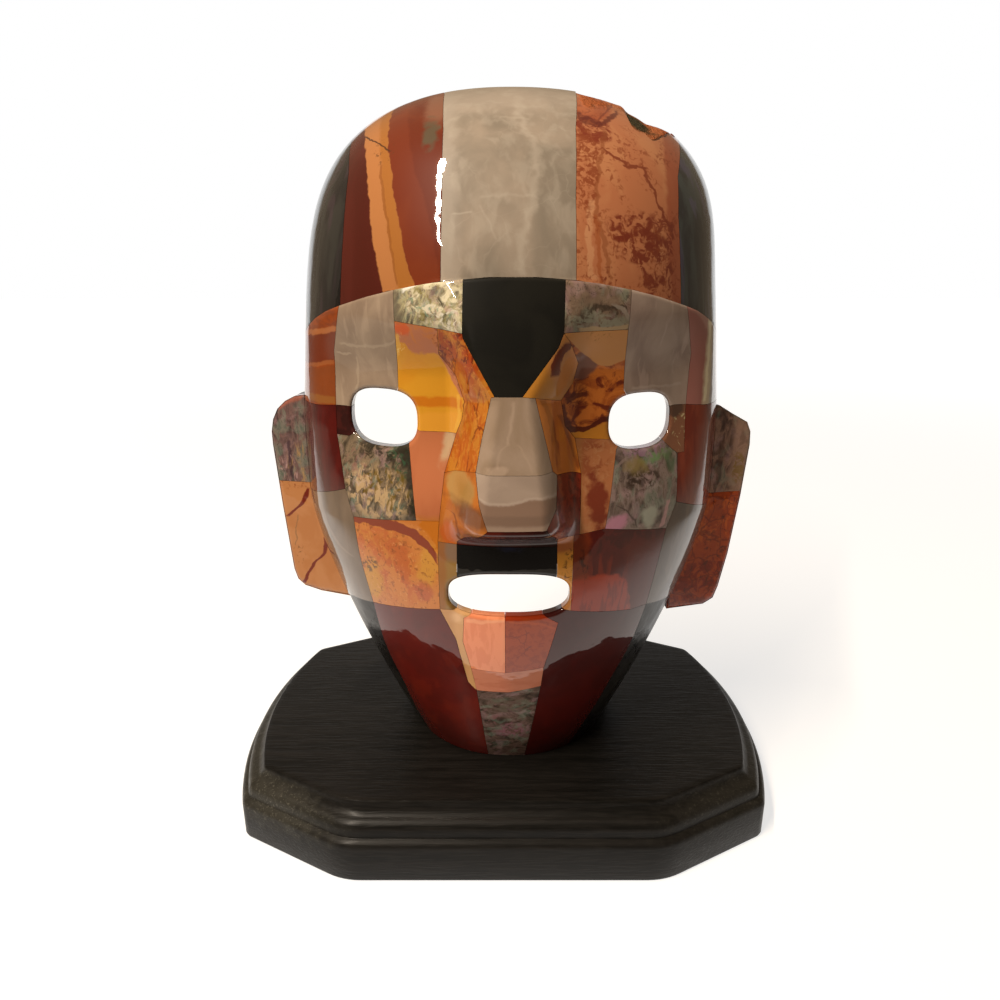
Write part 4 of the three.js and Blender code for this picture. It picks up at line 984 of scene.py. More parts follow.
def cracks(size, width, stretch=(1, 1, 1), seed=1):
    """Healed cracks between angular pieces of stone, `size` millimetres across."""
    bend = 0.7

    def mask(tree, place):
        at = stretched(tree, place, size, stretch, 0.0, seed)
        bent = add(tree, "TexNoise", {"Vector": at, "Scale": 1.3, "Detail": 3.0}, "Color")
        at = add(tree, "VectorMath", {0: bent, 1: (bend,) * 3, 2: at}, operation="MULTIPLY_ADD")
        edge = add(tree, "TexVoronoi", {"Vector": at, "Scale": 1.0}, feature="DISTANCE_TO_EDGE")
        return add(tree, "MapRange", {0: edge, 1: width / size / 2, 2: width / size / 5})
    return mask


def mixed(tree, below, colour, mask, strength=1.0):
    """A colour laid over another where a mask is."""
    if strength != 1:
        mask = add(tree, "Math", {0: mask, 1: strength}, operation="MULTIPLY")
    return add(tree, "Mix", {0: mask, 6: below, 7: colour}, 2, data_type="RGBA")


def lay(colour, *masks):
    """A layer of colour, where all its masks meet; a number at the end is its strength."""
    strength = masks[-1] if isinstance(masks[-1], float) else 1.0
    masks = [mask for mask in masks if callable(mask)]

    def layer(tree, place, below):
        meeting = masks[0](tree, place)
        for mask in masks[1:]:
            meeting = add(tree, "Math", {0: meeting, 1: mask(tree, place)}, operation="MULTIPLY")
        return mixed(tree, below, linear(colour), meeting, strength)
    return layer


def cloudy(dark, pale, size, stretch, seed=1):
    """Smoky quartz: milky clouds in a clear grey-brown ground."""
    def ground(tree, place):
        at = stretched(tree, place, size, stretch, 0.0, seed)
        noise = add(tree, "TexNoise", {"Vector": at, "Scale": 1.0, "Detail": 6.0, "Distortion": 0.6})
        share = add(tree, "MapRange", {0: noise, 1: 0.3, 2: 0.7}, interpolation_type="SMOOTHSTEP")
        return mixed(tree, linear(dark), linear(pale), share)
    return ground


def mother_of_pearl(dark, middle, pale, size, turn, seed):
    """Abalone shell: grey sheets folded over each other, dark growth lines, green and rose tints."""
    def ground(tree, place):
        at = stretched(tree, place, size, (1, 1, 1.8), turn, seed)
        sheets = add(tree, "TexNoise", {"Vector": at, "Scale": 1.0, "Detail": 6.0, "Distortion": 1.6})
        ramp = add(tree, "ValToRGB", {0: sheets}).node
        stops = ramp.color_ramp.elements
        stops[0].position, stops[0].color = 0.34, linear(dark)
        stops[1].position, stops[1].color = 0.68, linear(dark)
        for position, colour in ((0.44, middle), (0.53, pale), (0.60, middle)):
            stops.new(position).color = linear(colour)
        colour = ramp.outputs[0]
        for tint, shift, level in (("#7D9380", 3, 0.57), ("#A88689", 5, 0.59)):
            mask = clouds(size * 0.8, level, 0.07, (1, 1, 1.6), turn, seed + shift)(tree, place)
            colour = mixed(tree, colour, linear(tint), mask, 0.35)
        folds = add(tree, "TexNoise", {"Vector": at, "Scale": 2.1, "Detail": 2.0, "Distortion": 2.4})
        growth_line = add(tree, "Math", {0: folds, 1: 0.5, 2: 0.012}, operation="COMPARE")
        return mixed(tree, colour, linear("#2E2A24"), growth_line, 0.55)
    return ground


def broken_face(tree, place):
    """Where the crown has lost its polish to the chip."""
    above = line_offset(tree, place, CHIP_LINE, 0.15)[0]
    behind = add(tree, "Math", {0: place["y"], 1: -CHIP_TURN_Y}, operation="ADD")
    rise = add(tree, "Math", {0: behind, 1: CHIP_BEHIND}, operation="MULTIPLY")
    fall = add(tree, "Math", {0: behind, 1: CHIP_IN_FRONT}, operation="MULTIPLY")
    face = add(tree, "Math", {0: rise, 1: fall}, operation="MINIMUM")
    past_face = add(tree, "Math", {0: above, 1: face}, operation="SUBTRACT")
    return add(tree, "MapRange", {0: past_face, 1: -0.35, 2: -0.15})


def break_open(tree, shader, place, colour):
    """Raw stone of the chip: paler, earthy in one hollow, dull, and gritty to about a millimetre."""
    rough = broken_face(tree, place)
    raw = mixed(tree, colour, linear("#9A5632"), rough, 0.7)
    earthy = spot(CHIP_EARTHY, (4.8, 2.1), 0.5, 0.9, 0.8)(tree, place)
    earthy = add(tree, "Math", {0: earthy, 1: rough}, operation="MULTIPLY")
    grit = add(tree, "TexNoise", {"Vector": place["at"], "Scale": 1.1, "Detail": 6.0})
    grit = add(tree, "Math", {0: grit, 1: rough}, operation="MULTIPLY")
    wire(tree, shader, {
        "Roughness": add(tree, "MapRange", {0: rough, 3: 0.3, 4: 0.7}),
        "Coat Weight": add(tree, "Math", {0: 1.0, 1: rough}, operation="SUBTRACT"),
        "Normal": add(tree, "Bump", {"Height": grit, "Strength": 1.0, "Distance": 0.9 * MM})})
    return mixed(tree, raw, linear("#3F3826"), earthy)


def lapped_stone(name, ground, layers, broken=False):
    """Plates of jasper, smoky quartz, obsidian and abalone, ground flat by hand and flooded with
    clear resin: a deep wet gloss over the stone's own colours, with highlights that waver a little."""
    material, tree, shader = new_finish(name)
    place = in_face_places(tree)
    colour = linear(ground) if isinstance(ground, str) else ground(tree, place)
    for layer in layers:
        colour = layer(tree, place, colour)
    if broken:
        colour = break_open(tree, shader, place, colour)
    else:
        wire(tree, shader, {"Roughness": 0.42, "Coat Weight": 1.0})
    # Lapping by hand leaves waves from 13 to 3 mm long and a few hundredths of a millimetre high
    waves = {"Vector": place["at"], "Scale": 1 / 13, "Detail": 3.0, "Roughness": 0.58}
    waves = add(tree, "TexNoise", waves)
    # Stone under resin of nearly its own index gives little sheen of its own
    wire(tree, shader, {
        "Base Color": colour, "Specular IOR Level": 0.06, "Coat IOR": 1.5, "Coat Roughness": 0.03,
        "Coat Normal": add(tree, "Bump", {"Height": waves, "Strength": 1.0, "Distance": 0.15 * MM})})
    return material


def cast_resin():
    """Black polyester resin, cast and rubbed down: half-glossy and very dark, slightly uneven."""
    material, tree, shader = new_finish("cast_black_resin")
    place = in_face_places(tree)
    rubbed = clouds(7, 0.5, 0.2)(tree, place)
    dusty = flecks(2.5, 0.66)(tree, place)
    colour = mixed(tree, linear("#0C0B0A"), linear("#1C1916"), rubbed)
    # Lumps of the hand-laid casting are about 5 mm across and a quarter of a millimetre high
    lumps = add(tree, "TexNoise", {"Vector": place["at"], "Scale": 1 / 5, "Detail": 5.0})
    wire(tree, shader, {
        "Base Color": mixed(tree, colour, linear("#3A352E"), dusty, 0.35),
        "Roughness": add(tree, "MapRange", {0: rubbed, 3: 0.22, 4: 0.38}),
        "Specular IOR Level": 0.3,
        "Normal": add(tree, "Bump", {"Height": lumps, "Strength": 1.0, "Distance": 0.25 * MM})})
    return material


# Where the base's moulding is grey, partly rubbed wear and partly a painted reflection of the light:
# centre (x, z), half sizes and how strong the grey is
MOULDING_WEAR_AND_SHEEN = [((-64, 13), (15, 4.5), 0.8), ((60, 14), (16, 4), 0.3)]


def stained_wood():
    """Pine plaque stained black and wiped with satin lacquer: soft sheen, faint grain along the length,
    and grey on the moulding's ends that is partly rubbed wear and partly a painted reflection of the
    light."""
    material, tree, shader = new_finish("black_stained_wood")
    place = in_face_places(tree)
    # Growth lines of a flat-sawn board, about 2 mm apart, with fibres a quarter of that
    rings = clouds(2.0, 0.5, 0.2, (30, 1, 1), seed=3)(tree, place)
    fibres = clouds(0.55, 0.54, 0.14, (12, 1, 1), seed=5)(tree, place)
    colour = mixed(tree, linear("#0F0E0C"), linear("#171513"), rings)
    colour = mixed(tree, colour, linear("#262320"), fibres, 0.3)
    # The flat top is whole: the wear and painted reflection fade out over the moulding's last
    # millimetre
    moulding = add(tree, "MapRange", {0: place["z"], 1: 18.8, 2: 17.8})
    specks = flecks(0.6, 0.6)(tree, place)
    # Grey over the moulding: partly rubbed wear, partly a painted reflection of the light, strongest at
    # the left end
    for centre, radii, strength in MOULDING_WEAR_AND_SHEEN:
        rubbed = spot(centre, radii, 0, 3.5, 2)(tree, place)
        wear_and_sheen = add(tree, "Math", {0: rubbed, 1: moulding}, operation="MULTIPLY")
        colour = mixed(tree, colour, linear("#35332D"), wear_and_sheen, strength)
        wear_and_sheen = add(tree, "Math", {0: wear_and_sheen, 1: specks}, operation="MULTIPLY")
        colour = mixed(tree, colour, linear("#6C695F"), wear_and_sheen, strength / 2)
    height = add(tree, "Math", {0: rings, 1: 0.6, 2: fibres}, operation="MULTIPLY_ADD")
    wire(tree, shader, {
        "Base Color": colour,
        "Roughness": add(tree, "MapRange", {0: rings, 3: 0.36, 4: 0.46}),
        "Specular IOR Level": 0.12, "Coat Weight": 0.06, "Coat Roughness": 0.2,
        "Normal": add(tree, "Bump", {"Height": height, "Strength": 0.5, "Distance": 0.05 * MM})})
    return material


# Studio, in metres: the lit part of the table is this wide beside the object, and widens behind it
TABLE_SIDE, TABLE_FRONT, TABLE_BACK = 6.0, -0.22, 6.0
LIT_FROM_Y, LIT_FULLY_Y = -0.17, -0.1
LIT_INNER, LIT_OUTER, LIT_WIDENING = 0.165, 0.24, 0.7


def opal_board():
    """Light table of opal acrylic, the studio's plain white ground: it glows a little more far off,
    where the ceiling light no longer reaches, so that it is evenly pale up to the backdrop."""
    material, tree, shader = new_finish("opal_light_table")
    where = add(tree, "TexCoord", {}, "Object")
    x, y, _ = add(tree, "SeparateXYZ", {0: where}).node.outputs
    away = add(tree, "VectorMath", {0: where}, "Value", operation="LENGTH")
    glow = add(tree, "MapRange", {0: away, 1: 0.12, 2: 1.1, 3: 0.72, 4: 0.96})
    out = add(tree, "Math", {0: x}, operation="ABSOLUTE")
    past_side = add(tree, "Math", {0: y, 1: -LIT_WIDENING, 2: out}, operation="MULTIPLY_ADD")
    side = {0: past_side, 1: LIT_OUTER, 2: LIT_INNER}
    lit = add(tree, "MapRange", side, interpolation_type="SMOOTHSTEP")
    in_view = add(tree, "MapRange", {0: y, 1: LIT_FROM_Y, 2: LIT_FULLY_Y})
    glow = add(tree, "Math", {0: glow, 1: lit}, operation="MULTIPLY")
    wire(tree, shader, {
        "Base Color": linear("#A8A5A0"), "Roughness": 0.9, "Specular IOR Level": 0.2,
        "Emission Color": linear("#FFFFFF"),
        "Emission Strength": add(tree, "Math", {0: glow, 1: in_view}, operation="MULTIPLY")})
    return material


def add_stage():
    """The table, which ends a hand's length in front of the object as the dark room begins."""
    mesh = bpy.data.meshes.new("floor")
    corners = [(-TABLE_SIDE, TABLE_FRONT, 0), (TABLE_SIDE, TABLE_FRONT, 0),
               (TABLE_SIDE, TABLE_BACK, 0), (-TABLE_SIDE, TABLE_BACK, 0)]
    mesh.from_pydata(corners, [], [[0, 1, 2, 3]])
    floor = bpy.data.objects.new("floor", mesh)
    bpy.context.scene.collection.objects.link(floor)
    mesh.materials.append(opal_board())


# Backdrop: how far round and how high a direction can point and still meet its white
BACKDROP_EDGE, BACKDROP_INSIDE = 0.73, 0.81
BACKDROP_TOP, BACKDROP_WHITE_TO = 0.40, 0.33


def add_room():
    """A dim warm room, with a white backdrop behind the object that is no larger than the picture
    needs, so that it doesn't shine in the stones' sides or on the base."""
    world = bpy.data.worlds.new("studio")
    bpy.context.scene.world = world
    world.use_nodes = True
    tree = world.node_tree
    toward = add(tree, "TexCoord", {}, "Generated")
    _, y, z = add(tree, "SeparateXYZ", {0: toward}).node.outputs
    side = add(tree, "MapRange", {0: y, 1: -1.0, 2: 0.5})
    room = mixed(tree, linear("#54493F"), linear("#86755F"), side)
    behind = {0: y, 1: BACKDROP_EDGE, 2: BACKDROP_INSIDE}
    behind = add(tree, "MapRange", behind, interpolation_type="SMOOTHSTEP")
    low = {0: z, 1: BACKDROP_TOP, 2: BACKDROP_WHITE_TO}
    low = add(tree, "MapRange", low, interpolation_type="SMOOTHSTEP")
    backdrop = add(tree, "Math", {0: behind, 1: low}, operation="MULTIPLY")
    wire(tree, tree.nodes["Background"], {
        "Color": mixed(tree, room, linear("#FFFFFF"), backdrop), "Strength": 1.0})


# Ceiling light, in metres: its two ends as seen from the forehead, for each metre above it
FOREHEAD = Vector((0, -0.02, 0.15))
TUBE_START, TUBE_END = Vector((-0.94, -1.38, 1)), Vector((-0.36, -0.12, 1))
TUBE_RISE, TUBE_WIDTH, TUBE_POWER = 0.63, 0.021, 15


def add_tube():
    """A long narrow ceiling light over the object's right-hand side, running away from it."""
    start, end = FOREHEAD + TUBE_RISE * TUBE_START, FOREHEAD + TUBE_RISE * TUBE_END
    run = end - start
    light = bpy.data.lights.new("tube", "AREA")
    light.shape = "RECTANGLE"
    light.size, light.size_y = TUBE_WIDTH, run.length
    light.energy = TUBE_POWER
    light.color = linear("#FFF0DC")[:3]
    tube = bpy.data.objects.new("tube", light)
    bpy.context.scene.collection.objects.link(tube)
    tube.location = (start + end) / 2
    tube.rotation_euler = (0, 0, math.atan2(-run.x, run.y))


# Camera, as fitted to the base's edges in the photograph: its place, how far it looks down, in
# radians, and its focal length as a share of the picture's width
CAMERA_AT = (-0.98, -191.4, 143.5)
CAMERA_DOWN = 0.301
SENSOR_WIDTH = 36
FOCAL_SHARE = 0.7044


def add_camera():
    camera = bpy.data.objects.new("camera", bpy.data.cameras.new("camera"))
    bpy.context.scene.collection.objects.link(camera)
    camera.data.sensor_width = SENSOR_WIDTH
    camera.data.lens = SENSOR_WIDTH * FOCAL_SHARE
    camera.data.clip_start = 0.01
    camera.location = [(at + shift) * MM for at, shift in zip(CAMERA_AT, (0, PLACE[1], 0))]
    camera.rotation_euler = (math.pi / 2 - CAMERA_DOWN, 0, 0)
    bpy.context.scene.camera = camera


bpy.context.scene.view_settings.view_transform = "Standard"
add_camera()
add_stage()
add_room()
add_tube()

# Stones: each plate's ground colour and the layers over it, placed as (x, z) on the face

LOOKS = {}


def polish(name, ground, *layers, **finish):
    """Keeps one plate's recipe under its node's name."""
    LOOKS[name] = (ground, layers, finish)


# Forehead, from its right to its left as the mask looks out
polish("forehead_side_left", "#211E1E",
    # The paler grey and mauve streaks along the obsidian's curve are painted reflections of the room,
    # and the near-black strip by the jasper is a painted dark reflection
    lay("#373632", clouds(6, 0.5, 0.08, (1, 1, 9)), 0.6),
    lay("#3F3038", clouds(5, 0.58, 0.06, (1, 1, 10), seed=4), 0.5),
    lay("#050405", past([(-40.7, 137.3), (-39.1, 142.7), (-37.4, 152.3), (-36.1, 165.3)]), 0.75))
# Everything left of the right-hand edge of the two golden bands in the next plate
within_band = before([
    (-28.3, 182), (-27.7, 173.3), (-26.4, 166.5), (-25.2, 159.7), (-23.7, 153.3), (-22.8, 148.2),
    (-20.5, 142.2)], 0.2)
polish("forehead_jasper_left", "#4B180E",
    lay("#5A2018", clouds(14, 0.5, 0.12, (1, 1, 3)), 0.6),
    lay("#722C12", past([(-28.6, 182.1), (-27.7, 173.3), (-26.4, 166.5), (-25.2, 159.7),
        (-23.7, 153.3), (-22.8, 148.2), (-20.9, 142.8)], 0.2)),
    lay("#66230A", past([(-24, 181.3), (-20.9, 166.1), (-18.3, 158.6), (-16.5, 150.7),
        (-15.3, 143.8)], 0.4), 0.8),
    lay("#7C3516", clouds(9, 0.56, 0.08, (1, 1, 4), seed=3), past([(-28.6, 182.1), (-26.4, 166.5),
        (-23.7, 153.3), (-20.9, 142.8)]), 0.55),
    lay("#B17443", past([(-35, 178.6), (-32.3, 167.1), (-31.7, 163.1), (-30.2, 151.6),
        (-29.5, 147.9), (-28, 140.7)], 0.2), within_band),
    lay("#A16427", past([(-31.1, 181.3), (-29.4, 171.3), (-28.1, 162.3), (-26.4, 151.9),
        (-24.3, 141.8)], 0.5), within_band, 0.85),
    lay("#864C1C", vein([(-29.1, 167.9), (-27.7, 160.2), (-26.2, 151.9), (-24.7, 142.8)], 0.3),
        0.6),
    lay("#472714", vein([(-34, 175.2), (-31.3, 173.8), (-29, 172.3), (-26.7, 170.8)], 0.2), 0.9),
    lay("#553419", flecks(0.9, 0.62), spot((-28.5, 171.5), (2.4, 3.2)), 0.8),
    lay("#8D5F49", spot((-17, 181.2), (2.6, 5), 0, 1.2), 0.75),
    lay("#584D3A", spot((-17.8, 174.5), (1.6, 3.2), 0.1, 0.8, 0.9), 0.9))
polish("forehead_quartz", cloudy("#867B6D", "#A19282", 11, (1, 1, 1.6)),
    lay("#B0A294", past([(-14.9, 177.9), (-7.2, 179.1), (3.9, 180.1), (14.3, 179.4)], 3, 1), 0.6),
    lay("#ADA194", before([(-13.3, 184.9), (-11.8, 163.7), (-11.5, 144.8)], 1.6, 0.8), 0.55),
    lay("#B9AD9E", vein([(1.1, 184.2), (2.4, 174.4), (4.8, 169.9), (4, 159.5), (1.5, 149.7),
        (1.1, 144.7)], 0.9, 1.9, 1.0), 0.42),
    lay("#B9AD9E", vein([(-3, 177.7), (3.7, 177.2)], 0.3, 0.6), 0.3),
    lay("#B9AD9E", vein([(-6.9, 160.2), (-0.7, 160.5), (5.1, 160)], 0.3, 0.6), 0.25),
    lay("#BFB4A5", vein([(-12.7, 156.8), (-8.6, 157.2)], 0.2, 0.4), 0.35),
    lay("#B9AD9E", vein([(-6.9, 158.6), (-4.8, 154.6), (-3.4, 151.6)], 0.2, 0.5), 0.25),
    lay("#BFB4A5", clouds(3.2, 0.56, 0.12, (1, 1, 2.6), seed=7), 0.25),
    lay("#BFB4A5", cracks(9, 0.3, seed=2), clouds(9, 0.5, 0.15, seed=7), 0.12))
polish("forehead_jasper_right", "#B26F4A",
    lay("#BE8258", clouds(8, 0.52, 0.1, (1, 1, 2.4), seed=2), 0.6),
    lay("#9D4C2B", spot((18, 180.9), (4.6, 4.2), 0, 1), 0.9),
    lay("#94452B", past([(36.5, 178.6), (33.9, 160.6), (35.7, 139.5)], 0.6), 0.75),
    lay("#B5643C", spot((16.5, 182), (2.6, 3), 0.3, 1), 0.8),
    lay("#792D19", flecks(2.4, 0.46), spot((17.2, 175.2), (4.8, 3.2), 0.2), 0.95),
    lay("#5F2016", vein([(14.2, 178.6), (16.6, 177.4), (18.6, 176.8), (21.1, 178.1), (24.1, 180.2)],
        1.0, 0.8, 1.0), 0.9),
    lay("#752F1D", vein([(19.1, 177.3), (21.2, 180.1), (23.8, 183.6)], 0.3, 0.3, 0.5), 0.8),
    lay("#843E22", flecks(1.6, 0.5), spot((15.6, 166.9), (2.6, 9)), 0.85),
    lay("#79351F", vein([(19.3, 170.8), (22.3, 168.6), (25.9, 167.1), (29.3, 167.1)], 0.35, 0.3,
        0.8), 0.9),
    lay("#79351F", vein([(28.3, 167), (30.2, 162.9), (33, 157.5), (35.4, 152.2)], 0.4, 0.3, 0.9),
        0.9),
    lay("#884928", vein([(20.2, 175.1), (18.6, 167.1), (17.5, 158.7), (19, 150.8), (20.6, 143.8)],
        0.5, 0.4, 0.8), 0.6),
    lay("#CC956B", vein([(16.2, 159.7), (15.9, 151.7), (16.7, 143.8)], 0.7, 0.5, 0.6), 0.6),
    lay("#9D522B", vein([(17.5, 156.7), (17.7, 149.7), (18.5, 141.8)], 0.4, 0.4, 0.6), 0.7),
    lay("#752F1D", flecks(2.4, 0.5), spot((25.2, 154.7), (5.5, 3.2), -0.1), 0.95),
    lay("#752F1D", flecks(2.2, 0.5), spot((27.4, 150.7), (6, 3.8), 0.1), 0.95),
    lay("#752F1D", flecks(2.6, 0.51), spot((31.3, 147.5), (4.6, 5.6), 0.5), 0.95),
    lay("#752F1D", flecks(1.8, 0.53), spot((32.5, 152.9), (3.4, 5)), 0.9),
    lay("#752F1D", flecks(1.8, 0.53), spot((32.5, 141.7), (3.5, 2.6)), 0.9),
    lay("#752F1D", flecks(1.8, 0.55), spot((21.5, 144.8), (3, 2.4)), 0.9),
    lay("#843E22", flecks(1.3, 0.56), clouds(7, 0.5, 0.06, seed=5), 0.75),
    broken=True)
polish("forehead_side_right", "#2C2E31",
    # The grey and blue-mauve streaks along the obsidian's curve are painted reflections of the room
    lay("#434B4B", clouds(5, 0.5, 0.08, (1, 1, 10), seed=2), 0.7),
    lay("#514C66", clouds(4, 0.55, 0.06, (1, 1, 12), seed=6), 0.6))

# Brow and eyes
polish("temple_upper_left", "#7D3A19",
    lay("#954312", clouds(4, 0.5, 0.08, (1, 1, 0.4), seed=2), 0.6),
    lay("#6B2C17", before([(-50.9, 130.7), (-40.2, 132.5)], 0.3), past([(-53.1, 123.2),
        (-41.8, 125.4)], 0.3), 0.9),
    lay("#7F401C", before([(-53.1, 122.5), (-41.8, 124.7)], 0.3), past([(-53.5, 114.4),
        (-42.4, 115.4)], 0.3), 0.8),
    lay("#A9673A", vein([(-50.8, 131.4), (-45.3, 132.3), (-40.1, 133.1)], 0.6, 0.4, 0.3), 0.85),
    lay("#9C592F", vein([(-53.1, 123), (-46.3, 124.6), (-41.8, 125.4)], 0.5, 0.4, 0.3), 0.8),
    lay("#8D5827", vein([(-53.5, 115.4), (-46.8, 116.3), (-42.1, 116.2)], 0.9, 0.5, 0.3), 0.85))
polish("temple_lower_left", "#450906",
    lay("#580E08", clouds(5, 0.52, 0.08, (1, 1, 3)), 0.6),
    lay("#2C0504", past([(-41.9, 115), (-40.5, 97.9)], 1.2), 0.6),
    lay("#871F0E", flecks(0.9, 0.7), spot((-48.8, 102.5), (3, 8)), 0.6))
polish("brow_quartz_left", cloudy("#887463", "#9E8A76", 8, (1, 1, 1.6), 2),
    lay("#B19F8A", vein([(-39.7, 129.9), (-33.1, 129.6), (-25.5, 131.2)], 0.3, 0.4), 0.5),
    lay("#B19F8A", vein([(-40.9, 127.6), (-37, 127.5)], 0.25, 0.3), 0.45),
    lay("#B19F8A", vein([(-35.7, 127.1), (-35.6, 123.5), (-36.7, 118.7)], 0.3, 0.4), 0.4),
    lay("#B39E89", clouds(3, 0.62, 0.05, (1, 1, 4), seed=5), 0.35))
# The left eye's corner piece is dark red jasper, made darker with the shade of the eye's corner painted
# in
polish("eye_corner_left", "#2E0D0B", lay("#491915", clouds(3, 0.52, 0.08), 0.5))
polish("brow_abalone_left", mother_of_pearl("#625947", "#948A6F", "#C2B78B", 3.4, 0.4, 1),
    # These pale flecks are partly the nacre's own colour and partly painted glints
    lay("#E4D9B9", flecks(2.6, 0.52), spot((-16.1, 139.4), (7, 5), 0.3, 2.5), 0.95),
    lay("#E4DCCA", flecks(1.5, 0.56), spot((-14.2, 136.3), (5, 3), 0.2, 2), 0.9),
    lay("#7E7231", flecks(2.0, 0.58, seed=3), spot((-16.9, 139), (6, 4)), 0.7),
    lay("#779179", flecks(1.8, 0.58, seed=5), spot((-17.8, 137.6), (5, 3)), 0.8),
    lay("#C1A293", flecks(1.6, 0.6, seed=7), spot((-13.1, 136.9), (5, 4)), 0.7),
    # These two near-white lines along the top are a painted highlight on the brow's rounded edge
    lay("#E4E1D7", vein([(-23.4, 141.6), (-21.9, 142.4), (-20.3, 143.2)], 0.45, 0.4, 0.5), 0.9),
    lay("#E4DBCC", vein([(-15.1, 144.6), (-13.8, 144), (-13.3, 142.8)], 0.7, 0.5, 0.5), 0.9),
    lay("#6D6151", before([(-24.3, 142.8), (-23.6, 135.7)], 1.2), 0.8))
polish("brow_obsidian", "#11110E", lay("#1C1B16", clouds(12, 0.5, 0.1), 0.5))
polish("brow_abalone_right", mother_of_pearl("#5A473A", "#735E4E", "#826D5A", 5.0, 0.1, 2),
    lay("#3B3026", vein([(10.7, 135), (14.8, 136.2), (18.1, 138.2), (21.4, 138.9), (24.4, 136.1)],
        0.45, 0.3, 1.2), 0.75),
    lay("#3B3026", flecks(1.2, 0.54, (1, 1, 2)), spot((19.3, 136.8), (6, 2.4)), 0.7),
    lay("#8B8875", flecks(1.8, 0.5, (2, 1, 1), seed=3), spot((17.8, 135.4), (7.5, 1.9), 0.1, 0.6),
        0.85),
    lay("#93877A", vein([(21.8, 138.9), (23.5, 137.5), (24.7, 135.6)], 0.6, 0.4, 0.8), 0.7),
    lay("#A88E6A", vein([(13.8, 133.7), (19.4, 133.9), (24.7, 134.4)], 0.45, 0.3, 0.4), 0.9))
polish("brow_quartz_right", cloudy("#867268", "#A18E81", 8, (1, 1, 1.6), 3),
    lay("#B6A598", vein([(27, 120.5), (34.2, 120.4), (39.9, 120.2)], 0.3, 0.4), 0.4),
    lay("#BFAA9D", clouds(3, 0.62, 0.05, (1, 1, 4), seed=8), 0.3))
polish("eye_corner_right", "#81553E",
    lay("#462A24", past([(40.5, 116.4), (42.4, 111.3), (41.8, 102.1)], 1), 0.5),
    lay("#D3C895", flecks(1.4, 0.6), spot((40.4, 109.7), (2, 5)), 0.7),
    lay("#46362D", spot((38.5, 115), (2.5, 2)), 0.8))
polish("temple_upper_right", "#9E675E",
    # The pale streak and the grey band beyond it, where the temple turns to the side, are painted
    # reflections
    lay("#D2C0A0", past([(47.2, 135.1), (46.6, 127.7), (46.3, 115.8)], 0.6), 0.85),
    lay("#F5ECC5", vein([(48.1, 134.6), (47.7, 126.4), (47.2, 115.7)], 0.5, 0.5), 0.6),
    lay("#9C9697", past([(49.2, 134.5), (49.2, 127.4), (48.9, 115.5)], 0.5), 0.8))
polish("temple_lower_right", "#6F2B1D", lay("#91422A", clouds(4, 0.52, 0.08, (1, 1, 4)), 0.5))
polish("socket_jasper_left", "#D29326",
    lay("#CA8019", clouds(10, 0.55, 0.1), 0.4),
    lay("#B7714C", past([(-25.4, 130.7), (-23.7, 130.8), (-22.2, 129), (-19.1, 128.6), (-16.2, 128),
        (-13.9, 124.2), (-11.2, 119.8)], 0.4, 0.5)),
    lay("#C47535", flecks(3, 0.5), past([(-25.2, 131.8), (-22, 130.2), (-16.1, 129),
        (-11.2, 120.7)], 0.6), 0.7),
    lay("#7F2D11", flecks(1.6, 0.55, seed=4), past([(-17.2, 131.6), (-15.7, 129.4), (-13.7, 125.1),
        (-11, 120.7)], 0.8), 0.85),
    lay("#CD5419", spot((-23.9, 133.6), (1.7, 1.2)), 0.9),
    lay("#DDA748", vein([(-24.9, 132.5), (-25.2, 130.3), (-25.9, 126.8)], 0.5, 0.4), 0.8),
    lay("#F5E290", flecks(0.9, 0.6), spot((-24.7, 130.3), (0.9, 3)), 0.9),
    lay("#C26B11", vein([(-23, 117.8), (-18.4, 117.9), (-11, 118.1)], 1.1, 0.8, 0.3), 0.85),
    lay("#DD9933", before([(-23.1, 114.9), (-11, 116.1)], 0.6), 0.7),
    lay("#E2AD42", vein([(-11.7, 120), (-11.7, 116.7), (-12.8, 112)], 0.4, 0.4), 0.6))
polish("nose_side_left", "#B15D17",
    lay("#943817", past([(-15.7, 129), (-12.3, 127.5), (-6.9, 125.8)], 2, 1.5), 0.8),
    lay("#B97926", flecks(4, 0.52, (1, 1, 2), seed=2), 0.75),
    lay("#A23E0C", spot((-9.4, 126.8), (2.2, 2.6), 0.3), 0.85),
    lay("#A24A15", flecks(2, 0.54, (1, 1, 2), seed=8), 0.7),
    lay("#611A07", flecks(1.7, 0.56, seed=4), past([(-16.8, 125.4), (-4.8, 125.8)], 2), 0.9),
    lay("#6B2607", cracks(5, 0.5, (1, 1, 1.8), 5), clouds(6, 0.5, 0.06, seed=9), 0.75),
    lay("#C68132", flecks(1.4, 0.58, seed=12), 0.6))

